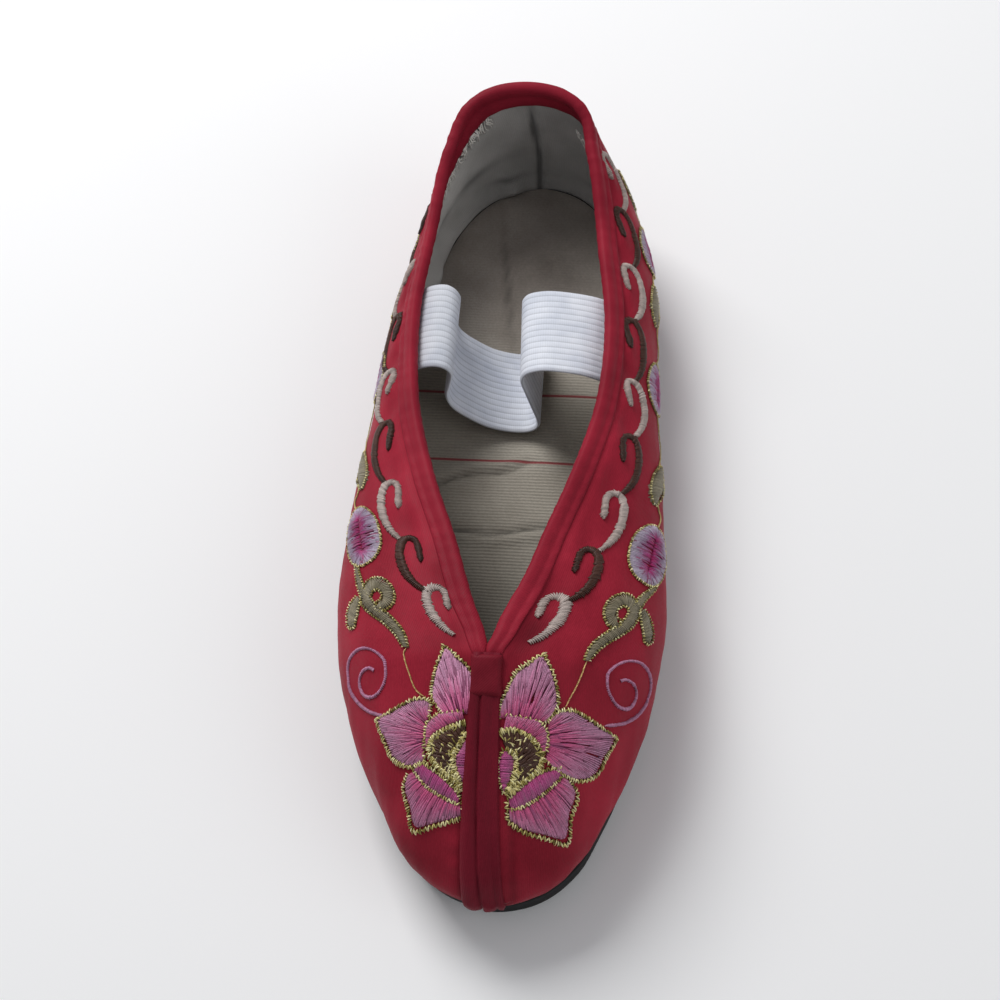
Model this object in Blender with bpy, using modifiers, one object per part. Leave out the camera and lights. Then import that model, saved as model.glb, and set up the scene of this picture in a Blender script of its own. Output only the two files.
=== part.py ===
"""An embroidered cloth shoe for the right foot: a satin upper with a V throat on a flat rubber sole.

The toe points along -Y and the shoe stands on z = 0. Sizes are in millimetres and become metres at the end.
"""
import math

import bpy
import numpy as np

MM = 0.001

# Main sizes of the shoe
LENGTH = 240.0
WALL = 1.8
GAP = 0.3
THROAT = 0.22
COLLAR_END = 0.985
BOW = -2.6
LEAN = -4.0
LEAN_SPAN = (0.3, 0.8)
FEATHER_ANGLE = math.radians(60)

# Sole and insole
SOLE_EDGE = 1.5
SOLE_TOP_ROUND = 0.4
SOLE_SIDE_ROUND = 1.1
SOLE_TREAD_ROUND = 1.0
INSOLE_INSET = 2.3
INSOLE_THICKNESS = 2.0

# Trim
BINDING_LEG = 5.5
BINDING_THICKNESS = 0.9
BINDING_START = 0.02
BINDING_SHOULDER = 0.6
STRIP_HALF_WIDTH_THROAT = 4.6
STRIP_HALF_WIDTH_TOE = 6.2
STRIP_FOOT_ANGLE = math.radians(48)
TAB_HALF_WIDTH = 5.2
TAB_BEHIND_THROAT = 4.5
TAB_LENGTH = 15.0
TAB_THICKNESS = 0.6

# Elastic
STRAP_WIDTH = 28.0
STRAP_THICKNESS = 1.2
STRAP_FRONT_HIGH = 24.5
STRAP_FRONT_LOW = 20.5
STRAP_HIGH = 36.0
STRAP_LOW = 16.0
STRAP_END_GAP = 0.4
STRAP_END_REACH = 8.0
STRAP_END_FLOOR = 28.0

# Steps of the meshes
STATIONS_FRONT = 11
STATIONS_BACK = 24
PROFILE_STEPS = 60
WALL_ROWS = 9
LEG_SHARE = 0.4
OUTLINE_STATIONS = 41
OUTLINE_END = 0.012
STRIP_STEPS = 16
STRIP_FOOT_STEPS = 3
TAB_STEPS = 7
STRAP_STEPS = 44


def table(columns, rows):
    """Turn rows of numbers into named columns."""
    return dict(zip(columns, np.array(rows, float).T))


# The last, a row for each section from toe to heel: fullness is the half width over the round of the ends,
# tuck is how far the feather edge lies inside the widest line, and widest is that line's height over the sole
LAST = table(
    ("station", "fullness", "tuck", "sole_top", "widest", "tread"),
    (
        (0.00, 116.0, 1.5, 11.0, 6.0, 4.0),
        (0.04, 106.0, 2.1, 10.2, 7.2, 2.4),
        (0.10, 99.0, 3.0, 9.0, 9.0, 0.8),
        (0.20, 98.5, 4.0, 8.3, 10.5, 0.0),
        (0.30, 96.0, 5.0, 8.1, 12.0, 0.0),
        (0.45, 87.5, 4.5, 8.6, 12.0, 0.5),
        (0.60, 83.5, 4.0, 9.0, 12.0, 1.6),
        (0.75, 91.0, 3.6, 9.8, 12.0, 0.0),
        (0.88, 99.0, 3.3, 10.4, 12.0, 0.0),
        (1.00, 113.0, 3.0, 11.0, 12.0, 0.4),
    ),
)

# The crest of the vamp, from the toe tip (share 0) to the throat (share 1)
CREST = table(
    ("share", "height"),
    ((0.0, 17.0), (0.075, 24.0), (0.22, 31.0), (0.445, 38.0), (0.74, 45.0), (1.0, 50.0)),
)

# The collar, from the throat (share 0) to the back of the heel (share 1)
COLLAR = table(
    ("share", "spread", "height"),
    (
        (0.00, 0.0, 50.0),
        (0.08, 7.0, 49.5),
        (0.18, 13.5, 47.8),
        (0.30, 24.0, 45.5),
        (0.45, 37.0, 43.0),
        (0.60, 46.0, 40.7),
        (0.75, 52.5, 40.7),
        (0.90, 67.0, 49.3),
        (1.00, 112.0, 56.4),
    ),
)

# How far the wall has turned over, in degrees, where it reaches the crest or the collar
TURN = table(
    ("station", "angle"),
    ((0.0, 90.0), (0.22, 90.0), (0.36, 65.0), (0.525, 50.0), (0.74, 42.0), (1.0, 38.0)),
)

# The slack elastic seen from the toe, from its left end to its right end: two humps and a trough
STRAP_PATH = table(
    ("across", "height"),
    (
        (-38.0, 31.0),
        (-35.2, 33.4),
        (-32.2, 36.2),
        (-29.0, 38.5),
        (-25.5, 39.5),
        (-22.3, 38.6),
        (-20.8, 35.8),
        (-21.6, 31.6),
        (-22.4, 27.4),
        (-20.8, 23.2),
        (-16.0, 19.2),
        (-11.5, 16.4),
        (-7.0, 14.6),
        (-2.9, 13.9),
        (0.8, 14.3),
        (3.4, 16.2),
        (4.0, 18.8),
        (2.5, 24.0),
        (0.8, 29.5),
        (-0.5, 34.4),
        (0.8, 37.9),
        (4.0, 39.8),
        (7.6, 40.0),
        (13.6, 38.4),
        (18.5, 36.6),
        (23.0, 34.4),
        (27.5, 32.2),
        (31.5, 30.6),
    ),
)

# The strip's two ribs, from one edge to the other: thickness at shares of its half width
STRIP_RIBS = table(
    ("share", "thickness"),
    (
        (-1.0, 0.4),
        (-0.8, 0.95),
        (-0.5, 1.2),
        (-0.2, 0.9),
        (0.0, 0.4),
        (0.2, 0.9),
        (0.5, 1.2),
        (0.8, 0.95),
        (1.0, 0.4),
    ),
)


def smooth(x, knots, values):
    """Read a table column between its rows with a curve that never overshoots them."""
    x = np.clip(np.asarray(x, float), knots[0], knots[-1])
    step = np.diff(knots)
    slope = np.diff(values) / step
    tangent = np.zeros_like(values)
    tangent[0], tangent[-1] = slope[0], slope[-1]
    for i in range(1, len(knots) - 1):
        if slope[i - 1] * slope[i] > 0:
            a = 2 * step[i] + step[i - 1]
            b = step[i] + 2 * step[i - 1]
            tangent[i] = (a + b) / (a / slope[i - 1] + b / slope[i])
    i = np.clip(np.searchsorted(knots, x, side="right") - 1, 0, len(knots) - 2)
    t = (x - knots[i]) / step[i]
    rise = values[i + 1] - values[i]
    ease = t * t * (3 - 2 * t)
    lead = t * (1 - t) ** 2 * tangent[i]
    trail = t * t * (t - 1) * tangent[i + 1]
    return values[i] + rise * ease + step[i] * (lead + trail)


def last(s, column):
    return smooth(s, LAST["station"], LAST[column])


def half_width(s):
    return np.sqrt(np.clip(s * (1 - s), 0, None)) * last(s, "fullness")


def along_y(s):
    return -LENGTH / 2 + s * LENGTH


def bow(s):
    return BOW * np.sin(np.pi * np.clip(s, 0, 1))


def crest_height(s):
    return smooth(s / THROAT, CREST["share"], CREST["height"])


def unit(v):
    return v / np.maximum(np.linalg.norm(v, axis=-1, keepdims=True), 1e-9)


def plan_outline(s, side, inset):
    """The widest line of one side in plan, moved inwards by inset."""
    tiny = 1e-4
    before, after = np.clip(s - tiny, 0, 1), np.clip(s + tiny, 0, 1)
    dx = side * (half_width(after) - half_width(before))
    dy = along_y(after) - along_y(before)
    normal = unit(np.stack([side * dy, -side * dx], -1))
    normal[s <= tiny] = (0, -1)
    normal[s >= 1 - tiny] = (0, 1)
    line = np.stack([side * half_width(s) + bow(s), along_y(s)], -1)
    return line - normal * np.reshape(inset, (-1, 1))


def top_line(s, side):
    """The crest in front of the throat and the collar behind it."""
    share = np.clip((s - THROAT) / (1 - THROAT), 0, 1)
    spread = smooth(share, COLLAR["share"], COLLAR["spread"]) * np.sqrt(1 - share)
    front = s <= THROAT + 1e-9
    station = np.where(front, s, THROAT + (COLLAR_END - THROAT) * share)
    height = np.where(front, crest_height(s), smooth(share, COLLAR["share"], COLLAR["height"]))
    lean = LEAN * np.clip((s - LEAN_SPAN[0]) / (LEAN_SPAN[1] - LEAN_SPAN[0]), 0, 1)
    return np.stack([side * np.where(front, 0, spread) + bow(station) + lean, along_y(station), height], -1)


def profiles(s, side):
    """For each station a fine line up the outside of the wall, from the feather edge to the top line."""
    widest = plan_outline(s, side, 0)
    feather = plan_outline(s, side, last(s, "tuck"))
    floor = last(s, "sole_top") + GAP
    belly = last(s, "sole_top") + last(s, "widest")
    top = top_line(s, side)
    turn = np.radians(smooth(s, TURN["station"], TURN["angle"]))
    low_steps = PROFILE_STEPS // 3
    rows = []
    for angle in np.linspace(FEATHER_ANGLE, 0, low_steps, endpoint=False):
        share = (1 - math.cos(angle)) / (1 - math.cos(FEATHER_ANGLE))
        plan = widest + (feather - widest) * share
        height = belly - (belly - floor) * math.sin(angle) / math.sin(FEATHER_ANGLE)
        rows.append(np.column_stack([plan, height]))
    for part in np.linspace(0, 1, PROFILE_STEPS - low_steps):
        angle = turn * part
        share = (1 - np.cos(angle)) / (1 - np.cos(turn))
        plan = widest + (top[:, :2] - widest) * share[:, None]
        height = belly + (top[:, 2] - belly) * np.sin(angle) / np.sin(turn)
        rows.append(np.column_stack([plan, height]))
    return np.stack(rows, 1)


def stations():
    """Stations from toe to heel, closer at both ends, with one at the throat and one at the binding's end."""
    throat_turn = math.acos(1 - 2 * THROAT)
    binding_end = THROAT + BINDING_START * (1 - THROAT)
    first = (1 - np.cos(np.linspace(0, throat_turn, STATIONS_FRONT))) / 2
    rest_turn = math.acos(1 - 2 * (binding_end + BINDING_START))
    rest = (1 - np.cos(np.linspace(rest_turn, math.pi, STATIONS_BACK))) / 2
    return np.concatenate([first, [binding_end], rest])


def wall_grid():
    """The outside of the wall: columns run from the heel along the left side to the toe and back on the right.

    Rows run from the top line to the feather edge. The first ones lie half a binding leg and a whole one down.
    """
    s = stations()
    sides = []
    for side in (-1, 1):
        fine = profiles(s, side)[:, ::-1]
        columns = []
        for line in fine:
            reach = np.concatenate([[0], np.cumsum(np.linalg.norm(np.diff(line, axis=0), axis=1))])
            leg = min(BINDING_LEG, LEG_SHARE * reach[-1])
            down = np.concatenate([[0, leg / 2], np.linspace(leg, reach[-1], WALL_ROWS)])
            columns.append(np.stack([np.interp(down, reach, line[:, k]) for k in range(3)], 1))
        sides.append(np.stack(columns))
    left, right = sides
    return np.concatenate([left[:0:-1], right[:-1]])


def grid_normals(grid):
    """Outward normals of a grid that closes round its columns."""
    around = np.roll(grid, -1, axis=0) - np.roll(grid, 1, axis=0)
    down = np.gradient(grid, axis=1)
    return unit(np.cross(down, around))


def make_object(name, points, faces, material):
    mesh = bpy.data.meshes.new(name)
    mesh.from_pydata([tuple(p) for p in np.asarray(points) * MM], [], faces)
    mesh.validate()
    mesh.shade_smooth()
    mesh.set_sharp_from_angle(angle=math.radians(35))
    mesh.materials.append(material)
    shoe_part = bpy.data.objects.new(name, mesh)
    shoe_collection.objects.link(shoe_part)
    shoe_part.parent = shoe_origin
    return shoe_part


def make_material(name, color, roughness):
    material = bpy.data.materials.new(name)
    material.use_nodes = True
    shader = material.node_tree.nodes["Principled BSDF"]
    shader.inputs["Base Color"].default_value = (*color, 1)
    shader.inputs["Roughness"].default_value = roughness
    shader.inputs["Metallic"].default_value = 0
    return material


def sweep(rings):
    """Points and faces that join a row of rings into one solid with flat ends."""
    count, sides = rings.shape[:2]
    faces = []
    for i in range(count - 1):
        here, there = i * sides, (i + 1) * sides
        for j in range(sides):
            k = (j + 1) % sides
            faces.append((here + j, there + j, there + k, here + k))
    faces.append(tuple(range(sides)))
    faces.append(tuple((count - 1) * sides + j for j in reversed(range(sides))))
    return rings.reshape(-1, 3), faces


def slab(top, bottom):
    """A closed solid between two grids of the same size."""
    rings = np.concatenate([top, bottom[:, ::-1]], axis=1)
    return sweep(rings)


def make_upper():
    grid = wall_grid()
    columns, rows = grid.shape[:2]
    toe = columns // 2
    crest = STATIONS_FRONT - 1
    index = np.arange(columns * rows).reshape(columns, rows)
    for i in range(1, crest + 1):
        index[toe - i, 0] = index[toe + i, 0]
    faces = []
    for i in range(columns):
        k = (i + 1) % columns
        for j in range(rows - 1):
            faces.append((index[i, j], index[i, j + 1], index[k, j + 1], index[k, j]))
    used = sorted({v for face in faces for v in face})
    place = {v: n for n, v in enumerate(used)}
    points = grid.reshape(-1, 3)[used]
    upper = make_object("upper", points, [tuple(place[v] for v in face) for face in faces], satin)
    shell = upper.modifiers.new("wall", "SOLIDIFY")
    shell.thickness = WALL * MM
    shell.offset = -1
    shell.use_even_offset = True
    return upper


def outline_stations():
    """Stations of the sole and insole, which end just short of the toe tip and the heel tip."""
    return (1 - np.cos(np.linspace(OUTLINE_END, math.pi - OUTLINE_END, OUTLINE_STATIONS))) / 2


def sole_rings(s, levels):
    """Rings across the sole or insole: each level is a reach out from the feather edge and a height."""
    edges = []
    for side in (-1, 1):
        for reach, height in levels[::-side]:
            edges.append(np.column_stack([plan_outline(s, side, last(s, "tuck") - reach), height]))
    return np.stack(edges, 1)


def make_outsole():
    s = outline_stations()
    top, tread = last(s, "sole_top"), last(s, "tread")
    levels = (
        (SOLE_EDGE - SOLE_TOP_ROUND, top),
        (SOLE_EDGE, top - SOLE_SIDE_ROUND),
        (SOLE_EDGE, tread + SOLE_SIDE_ROUND),
        (SOLE_EDGE - SOLE_TREAD_ROUND, tread),
    )
    return make_object("outsole", *sweep(sole_rings(s, levels)), rubber)


def make_insole():
    s = outline_stations()
    base = last(s, "sole_top") + GAP
    levels = ((-INSOLE_INSET, base + INSOLE_THICKNESS), (-INSOLE_INSET, base))
    return make_object("insole", *sweep(sole_rings(s, levels)), cotton)


def make_collar_binding():
    """A folded tape over the collar edge, from the right end at the throat round the heel to the left end."""
    grid = wall_grid()
    normals = grid_normals(grid)
    toe = len(grid) // 2
    first, final = toe + STATIONS_FRONT, toe - STATIONS_FRONT
    columns = np.concatenate([np.arange(first, len(grid)), np.arange(final + 1)])
    edge, middle, foot = (grid[columns, row] for row in range(3))
    edge_n, middle_n, foot_n = (normals[columns, row] for row in range(3))
    upward = unit(edge - middle)
    inner, outer = GAP, GAP + BINDING_THICKNESS
    core = edge - edge_n * WALL / 2
    shoulder = BINDING_SHOULDER * (WALL / 2 + outer)
    ring = (
        foot + foot_n * outer,
        middle + middle_n * outer,
        edge + edge_n * outer,
        core + edge_n * shoulder + upward * outer,
        core - edge_n * shoulder + upward * outer,
        edge - edge_n * (WALL + outer),
        middle - middle_n * (WALL + outer),
        foot - foot_n * (WALL + outer),
        foot - foot_n * (WALL + inner),
        middle - middle_n * (WALL + inner),
        core - edge_n * (WALL / 2 + inner) + upward * inner,
        core + edge_n * (WALL / 2 + inner) + upward * inner,
        middle + middle_n * inner,
        foot + foot_n * inner,
    )
    return make_object("collar_binding", *sweep(np.stack(ring, 1)), satin)


def tip_station(reach):
    """The station near the toe where the half width equals reach."""
    s = (reach / LAST["fullness"][0]) ** 2
    for _ in range(20):
        s = (reach / last(s, "fullness")) ** 2 / (1 - s)
    return s


def vamp_height(reach, s):
    belly = last(s, "sole_top") + last(s, "widest")
    share = np.clip(reach / np.maximum(half_width(s), 1e-6), 0, 1)
    return belly + (crest_height(s) - belly) * np.sqrt(1 - share ** 2)


def vamp_point(across, share):
    """A point beside the toe seam: share is 1 at the throat, 0 at the widest line and -1 at the strip's foot."""
    reach = np.array([abs(across)])
    side = 1 if across >= 0 else -1
    tip = tip_station(reach)
    if share >= 0:
        s = tip + (THROAT - tip) * share ** 2
        return np.array([across + bow(s)[0], along_y(s)[0], vamp_height(reach, s)[0]])
    angle = -share * STRIP_FOOT_ANGLE
    tuck = last(tip, "tuck") * (1 - math.cos(angle)) / (1 - math.cos(FEATHER_ANGLE))
    drop = (last(tip, "widest") - GAP) * math.sin(angle) / math.sin(FEATHER_ANGLE)
    height = last(tip, "sole_top") + last(tip, "widest") - drop
    return np.array([*plan_outline(tip, side, tuck)[0], height[0]])


def make_toe_strip():
    """Two piped ribs over the toe seam, following the vamp from the throat down to the sole."""
    shares = np.concatenate([np.linspace(1, 0, STRIP_STEPS), -np.linspace(0, 1, STRIP_FOOT_STEPS + 1)[1:]])
    rows = []
    for share in shares:
        widening = 1 - max(share, 0)
        half = STRIP_HALF_WIDTH_THROAT + (STRIP_HALF_WIDTH_TOE - STRIP_HALF_WIDTH_THROAT) * widening
        rows.append([vamp_point(u * half, share) for u in STRIP_RIBS["share"]])
    base = np.array(rows)
    normals = np.cross(np.gradient(base, axis=1), np.gradient(base, axis=0))
    normals[shares <= 0, :, 2] = 0
    normals = unit(normals) * np.sign(normals[0, 0, 2])
    thickness = GAP + STRIP_RIBS["thickness"]
    top = base + normals * thickness[None, :, None]
    return make_object("toe_strip", *slab(top, base + normals * GAP), satin)


def make_throat_tab():
    """A small tab over the strip's top end and the two ends of the binding."""
    back = along_y(THROAT) + TAB_BEHIND_THROAT
    rows = []
    for y in np.linspace(back, back - TAB_LENGTH, TAB_STEPS):
        s = np.array([min((y + LENGTH / 2) / LENGTH, THROAT)])
        across = np.linspace(-TAB_HALF_WIDTH, TAB_HALF_WIDTH, TAB_STEPS)
        rows.append([(x + bow(s)[0], y, vamp_height(abs(x), s)[0]) for x in across])
    base = np.array(rows)
    normals = np.cross(np.gradient(base, axis=1), np.gradient(base, axis=0))
    normals = unit(normals) * np.sign(normals[0, 0, 2])
    under = 2 * GAP + STRIP_RIBS["thickness"].max()
    top = base + normals * (under + TAB_THICKNESS)
    return make_object("throat_tab", *slab(top, base + normals * under), satin)


def curve_through(points, count):
    """Evenly stepped points on a smooth curve through the given ones."""
    ends = np.concatenate([[2 * points[0] - points[1]], points, [2 * points[-1] - points[-2]]])
    place = np.linspace(0, len(points) - 1, count)
    i = np.minimum(place.astype(int), len(points) - 2)
    t = (place - i)[:, None]
    a, b, c, d = ends[i], ends[i + 1], ends[i + 2], ends[i + 3]
    return b + 0.5 * t * (c - a + t * (2 * a - 5 * b + 4 * c - d + t * (3 * (b - c) + d - a)))


def inner_wall_x(side, y, z):
    """Where the inside of the wall lies across the shoe, at a place along it and a height."""
    grid = wall_grid()
    inside = grid - grid_normals(grid) * WALL
    toe = len(grid) // 2
    columns = inside[toe:] if side > 0 else inside[toe::-1]
    x_at = [np.interp(z, column[::-1, 2], column[::-1, 0]) for column in columns]
    y_at = [np.interp(z, column[::-1, 2], column[::-1, 1]) for column in columns]
    return np.interp(y, y_at, x_at)


def make_elastic_strap():
    """A slack band from wall to wall, its two ends cut to the inside of the upper."""
    path = curve_through(np.column_stack([STRAP_PATH["across"], STRAP_PATH["height"]]), STRAP_STEPS)
    tangent = unit(np.gradient(path, axis=0))
    half = np.column_stack([-tangent[:, 1], tangent[:, 0]]) * STRAP_THICKNESS / 2
    rise = np.clip((path[:, 1] - STRAP_LOW) / (STRAP_HIGH - STRAP_LOW), 0, 1)
    front = STRAP_FRONT_LOW + (STRAP_FRONT_HIGH - STRAP_FRONT_LOW) * rise
    back = front + STRAP_WIDTH
    corners = []
    for flat, y in ((path + half, back), (path - half, back), (path - half, front), (path + half, front)):
        for end, side in ((0, -1), (-1, 1)):
            wall = inner_wall_x(side, y[end], flat[end, 1]) - side * STRAP_END_GAP
            nearness = np.clip(1 - np.abs(path[:, 0] - path[end, 0]) / STRAP_END_REACH, 0, 1)
            nearness[path[:, 1] < STRAP_END_FLOOR] = 0
            flat[:, 0] += (wall - flat[end, 0]) * nearness
        corners.append(np.column_stack([flat[:, 0], y, flat[:, 1]]))
    return make_object("elastic_strap", *sweep(np.stack(corners, 1)), elastic)


def centre_on_floor():
    """Move the shoe so that the middle of its box stands over the origin."""
    corners = np.array([v.co for o in shoe_collection.objects if o.type == "MESH" for v in o.data.vertices])
    low, high = corners.min(axis=0), corners.max(axis=0)
    shoe_origin.location = (-(low[0] + high[0]) / 2, -(low[1] + high[1]) / 2, -low[2])


for old in list(bpy.data.objects):
    bpy.data.objects.remove(old, do_unlink=True)

shoe_collection = bpy.data.collections.new("embroidered_shoe")
bpy.context.scene.collection.children.link(shoe_collection)
shoe_origin = bpy.data.objects.new("shoe_origin", None)
shoe_collection.objects.link(shoe_origin)

satin = make_material("red satin", (0.22, 0.020, 0.028), 0.45)
rubber = make_material("black rubber", (0.012, 0.012, 0.012), 0.6)
cotton = make_material("beige cotton", (0.22, 0.21, 0.18), 0.9)
elastic = make_material("white elastic", (0.58, 0.63, 0.74), 0.8)

make_outsole()
make_upper()
make_insole()
make_collar_binding()
make_toe_strip()
make_throat_tab()
make_elastic_strap()
centre_on_floor()
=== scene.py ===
# %% [markdown]
# # An embroidered cloth shoe
# This lesson dresses a packed shoe, a right foot's slip-on of red satin with silk embroidery, in Blender.
# The frame holds seven plain solids. Each one is replaced here by a finer piece that keeps its form,
# and the sewing, the threads and the wear are added on top. Sizes are millimetres until the last moment.

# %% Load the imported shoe
import math

import bmesh
import bpy
import numpy as np
from mathutils import Matrix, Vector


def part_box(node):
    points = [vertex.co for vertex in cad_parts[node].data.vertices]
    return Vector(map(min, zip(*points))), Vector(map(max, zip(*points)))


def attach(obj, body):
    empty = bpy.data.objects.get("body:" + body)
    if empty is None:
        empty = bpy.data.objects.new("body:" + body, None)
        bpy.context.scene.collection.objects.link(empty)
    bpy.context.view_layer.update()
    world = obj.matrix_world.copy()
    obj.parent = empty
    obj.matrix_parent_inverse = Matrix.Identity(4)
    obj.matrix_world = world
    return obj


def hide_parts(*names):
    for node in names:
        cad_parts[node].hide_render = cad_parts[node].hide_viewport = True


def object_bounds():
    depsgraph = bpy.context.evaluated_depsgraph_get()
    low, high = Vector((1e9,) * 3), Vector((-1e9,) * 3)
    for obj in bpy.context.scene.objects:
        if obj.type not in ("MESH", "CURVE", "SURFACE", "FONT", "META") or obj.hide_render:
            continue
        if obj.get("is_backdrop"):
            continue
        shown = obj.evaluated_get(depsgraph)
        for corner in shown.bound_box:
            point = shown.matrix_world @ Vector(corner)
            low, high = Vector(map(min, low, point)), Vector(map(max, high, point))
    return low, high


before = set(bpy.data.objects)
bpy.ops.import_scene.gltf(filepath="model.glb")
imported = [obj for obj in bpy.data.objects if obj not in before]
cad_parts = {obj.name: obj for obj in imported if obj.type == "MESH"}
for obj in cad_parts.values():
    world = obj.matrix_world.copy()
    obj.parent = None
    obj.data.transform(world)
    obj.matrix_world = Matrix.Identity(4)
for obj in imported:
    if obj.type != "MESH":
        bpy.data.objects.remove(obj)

MM = 0.001
cad_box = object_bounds()
print("solids:", ", ".join(sorted(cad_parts)))

# %% [markdown]
# ## The last
# A shoemaker starts from a last, the wooden foot that the upper is stretched over. Here the last is a table
# of sections from toe to heel. A curve that never overshoots reads it between the rows, so that one function
# can tell where the wall of the shoe is, and every cloth, seam and thread can be laid on that wall.
# A station is a share of the length, 0 at the toe and 1 at the heel. A side is -1 for left and 1 for right.

# %% Sizes of the shoe
LENGTH = 240.0
WALL = 1.8
GAP = 0.3
THROAT = 0.22
COLLAR_END = 0.985
BOW = -2.6
LEAN = -4.0
LEAN_SPAN = (0.3, 0.8)
FEATHER_ANGLE = math.radians(60)


def table(columns, rows):
    """Turn rows of numbers into named columns."""
    return dict(zip(columns, np.array(rows, float).T))


# fullness is the half width over the round of the ends, tuck is how far the feather edge lies inside the
# widest line, and widest is that line's height over the sole
LAST = table(
    ("station", "fullness", "tuck", "sole_top", "widest", "tread"),
    (
        (0.00, 116.0, 1.5, 11.0, 6.0, 4.0),
        (0.04, 106.0, 2.1, 10.2, 7.2, 2.4),
        (0.10, 99.0, 3.0, 9.0, 9.0, 0.8),
        (0.20, 98.5, 4.0, 8.3, 10.5, 0.0),
        (0.30, 96.0, 5.0, 8.1, 12.0, 0.0),
        (0.45, 87.5, 4.5, 8.6, 12.0, 0.5),
        (0.60, 83.5, 4.0, 9.0, 12.0, 1.6),
        (0.75, 91.0, 3.6, 9.8, 12.0, 0.0),
        (0.88, 99.0, 3.3, 10.4, 12.0, 0.0),
        (1.00, 113.0, 3.0, 11.0, 12.0, 0.4),
    ),
)
CREST = table(
    ("share", "height"),
    ((0.0, 17.0), (0.075, 24.0), (0.22, 31.0), (0.445, 38.0), (0.74, 45.0), (1.0, 50.0)),
)
COLLAR = table(
    ("share", "spread", "height"),
    (
        (0.00, 0.0, 50.0),
        (0.08, 7.0, 49.5),
        (0.18, 13.5, 47.8),
        (0.30, 24.0, 45.5),
        (0.45, 37.0, 43.0),
        (0.60, 46.0, 40.7),
        (0.75, 52.5, 40.7),
        (0.90, 67.0, 49.3),
        (1.00, 112.0, 56.4),
    ),
)
TURN = table(
    ("station", "angle"),
    ((0.0, 90.0), (0.22, 90.0), (0.36, 65.0), (0.525, 50.0), (0.74, 42.0), (1.0, 38.0)),
)
print("a last of", len(LAST["station"]), "sections,", LENGTH, "mm long")

# %% Curves and measures


def smooth(x, knots, values):
    """Read a table column between its rows with a curve that never overshoots them."""
    x = np.clip(np.asarray(x, float), knots[0], knots[-1])
    step = np.diff(knots)
    slope = np.diff(values) / step
    tangent = np.zeros_like(values)
    tangent[0], tangent[-1] = slope[0], slope[-1]
    for i in range(1, len(knots) - 1):
        if slope[i - 1] * slope[i] > 0:
            a = 2 * step[i] + step[i - 1]
            b = step[i] + 2 * step[i - 1]
            tangent[i] = (a + b) / (a / slope[i - 1] + b / slope[i])
    i = np.clip(np.searchsorted(knots, x, side="right") - 1, 0, len(knots) - 2)
    t = (x - knots[i]) / step[i]
    rise = values[i + 1] - values[i]
    ease = t * t * (3 - 2 * t)
    lead = t * (1 - t) ** 2 * tangent[i]
    trail = t * t * (t - 1) * tangent[i + 1]
    return values[i] + rise * ease + step[i] * (lead + trail)


def climb(x, start, end):
    """From 0 at start to 1 at end, and level outside them."""
    return np.clip((x - start) / (end - start), 0, 1)


def bell(x, centre, width):
    """A soft bump of height 1."""
    return np.exp(-((x - centre) / width) ** 2)


def unit(v):
    return v / np.maximum(np.linalg.norm(v, axis=-1, keepdims=True), 1e-9)


def run_along(points):
    """The way along a line of points, from its first point."""
    return np.concatenate([[0], np.cumsum(np.linalg.norm(np.diff(points, axis=0), axis=1))])


def stations(count, start=0.0, stop=math.pi):
    """Stations from toe to heel, closer together at the two round ends."""
    return (1 - np.cos(np.linspace(start, stop, count))) / 2


print("seven stations, toe to heel:", np.round(stations(7), 2))

# %% Read the last
def last(s, column):
    return smooth(s, LAST["station"], LAST[column])


def half_width(s):
    return np.sqrt(np.clip(s * (1 - s), 0, None)) * last(s, "fullness")


def along_y(s):
    return -LENGTH / 2 + s * LENGTH


def bow(s):
    return BOW * np.sin(np.pi * np.clip(s, 0, 1))


def crest_height(s):
    return smooth(s / THROAT, CREST["share"], CREST["height"])


print("half width at a third of the length:", round(float(half_width(1 / 3)), 1), "mm")

# %% Outline, top line and profiles
PROFILE_STEPS = 90


def plan_outline(s, side, inset):
    """The widest line of one side in plan, moved inwards by inset."""
    tiny = 1e-4
    before, after = np.clip(s - tiny, 0, 1), np.clip(s + tiny, 0, 1)
    dx = side * (half_width(after) - half_width(before))
    dy = along_y(after) - along_y(before)
    normal = unit(np.stack([side * dy, -side * dx], -1))
    normal[s <= tiny] = (0, -1)
    normal[s >= 1 - tiny] = (0, 1)
    widest = np.stack([side * half_width(s) + bow(s), along_y(s)], -1)
    return widest - normal * np.reshape(inset, (-1, 1))


def top_line(s, side):
    """The crest in front of the throat and the collar behind it."""
    share = climb(s, THROAT, 1)
    spread = smooth(share, COLLAR["share"], COLLAR["spread"]) * np.sqrt(1 - share)
    front = s <= THROAT + 1e-9
    station = np.where(front, s, THROAT + (COLLAR_END - THROAT) * share)
    height = np.where(front, crest_height(s), smooth(share, COLLAR["share"], COLLAR["height"]))
    across = side * np.where(front, 0, spread) + bow(station) + LEAN * climb(s, *LEAN_SPAN)
    return np.stack([across, along_y(station), height], -1)


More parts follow.
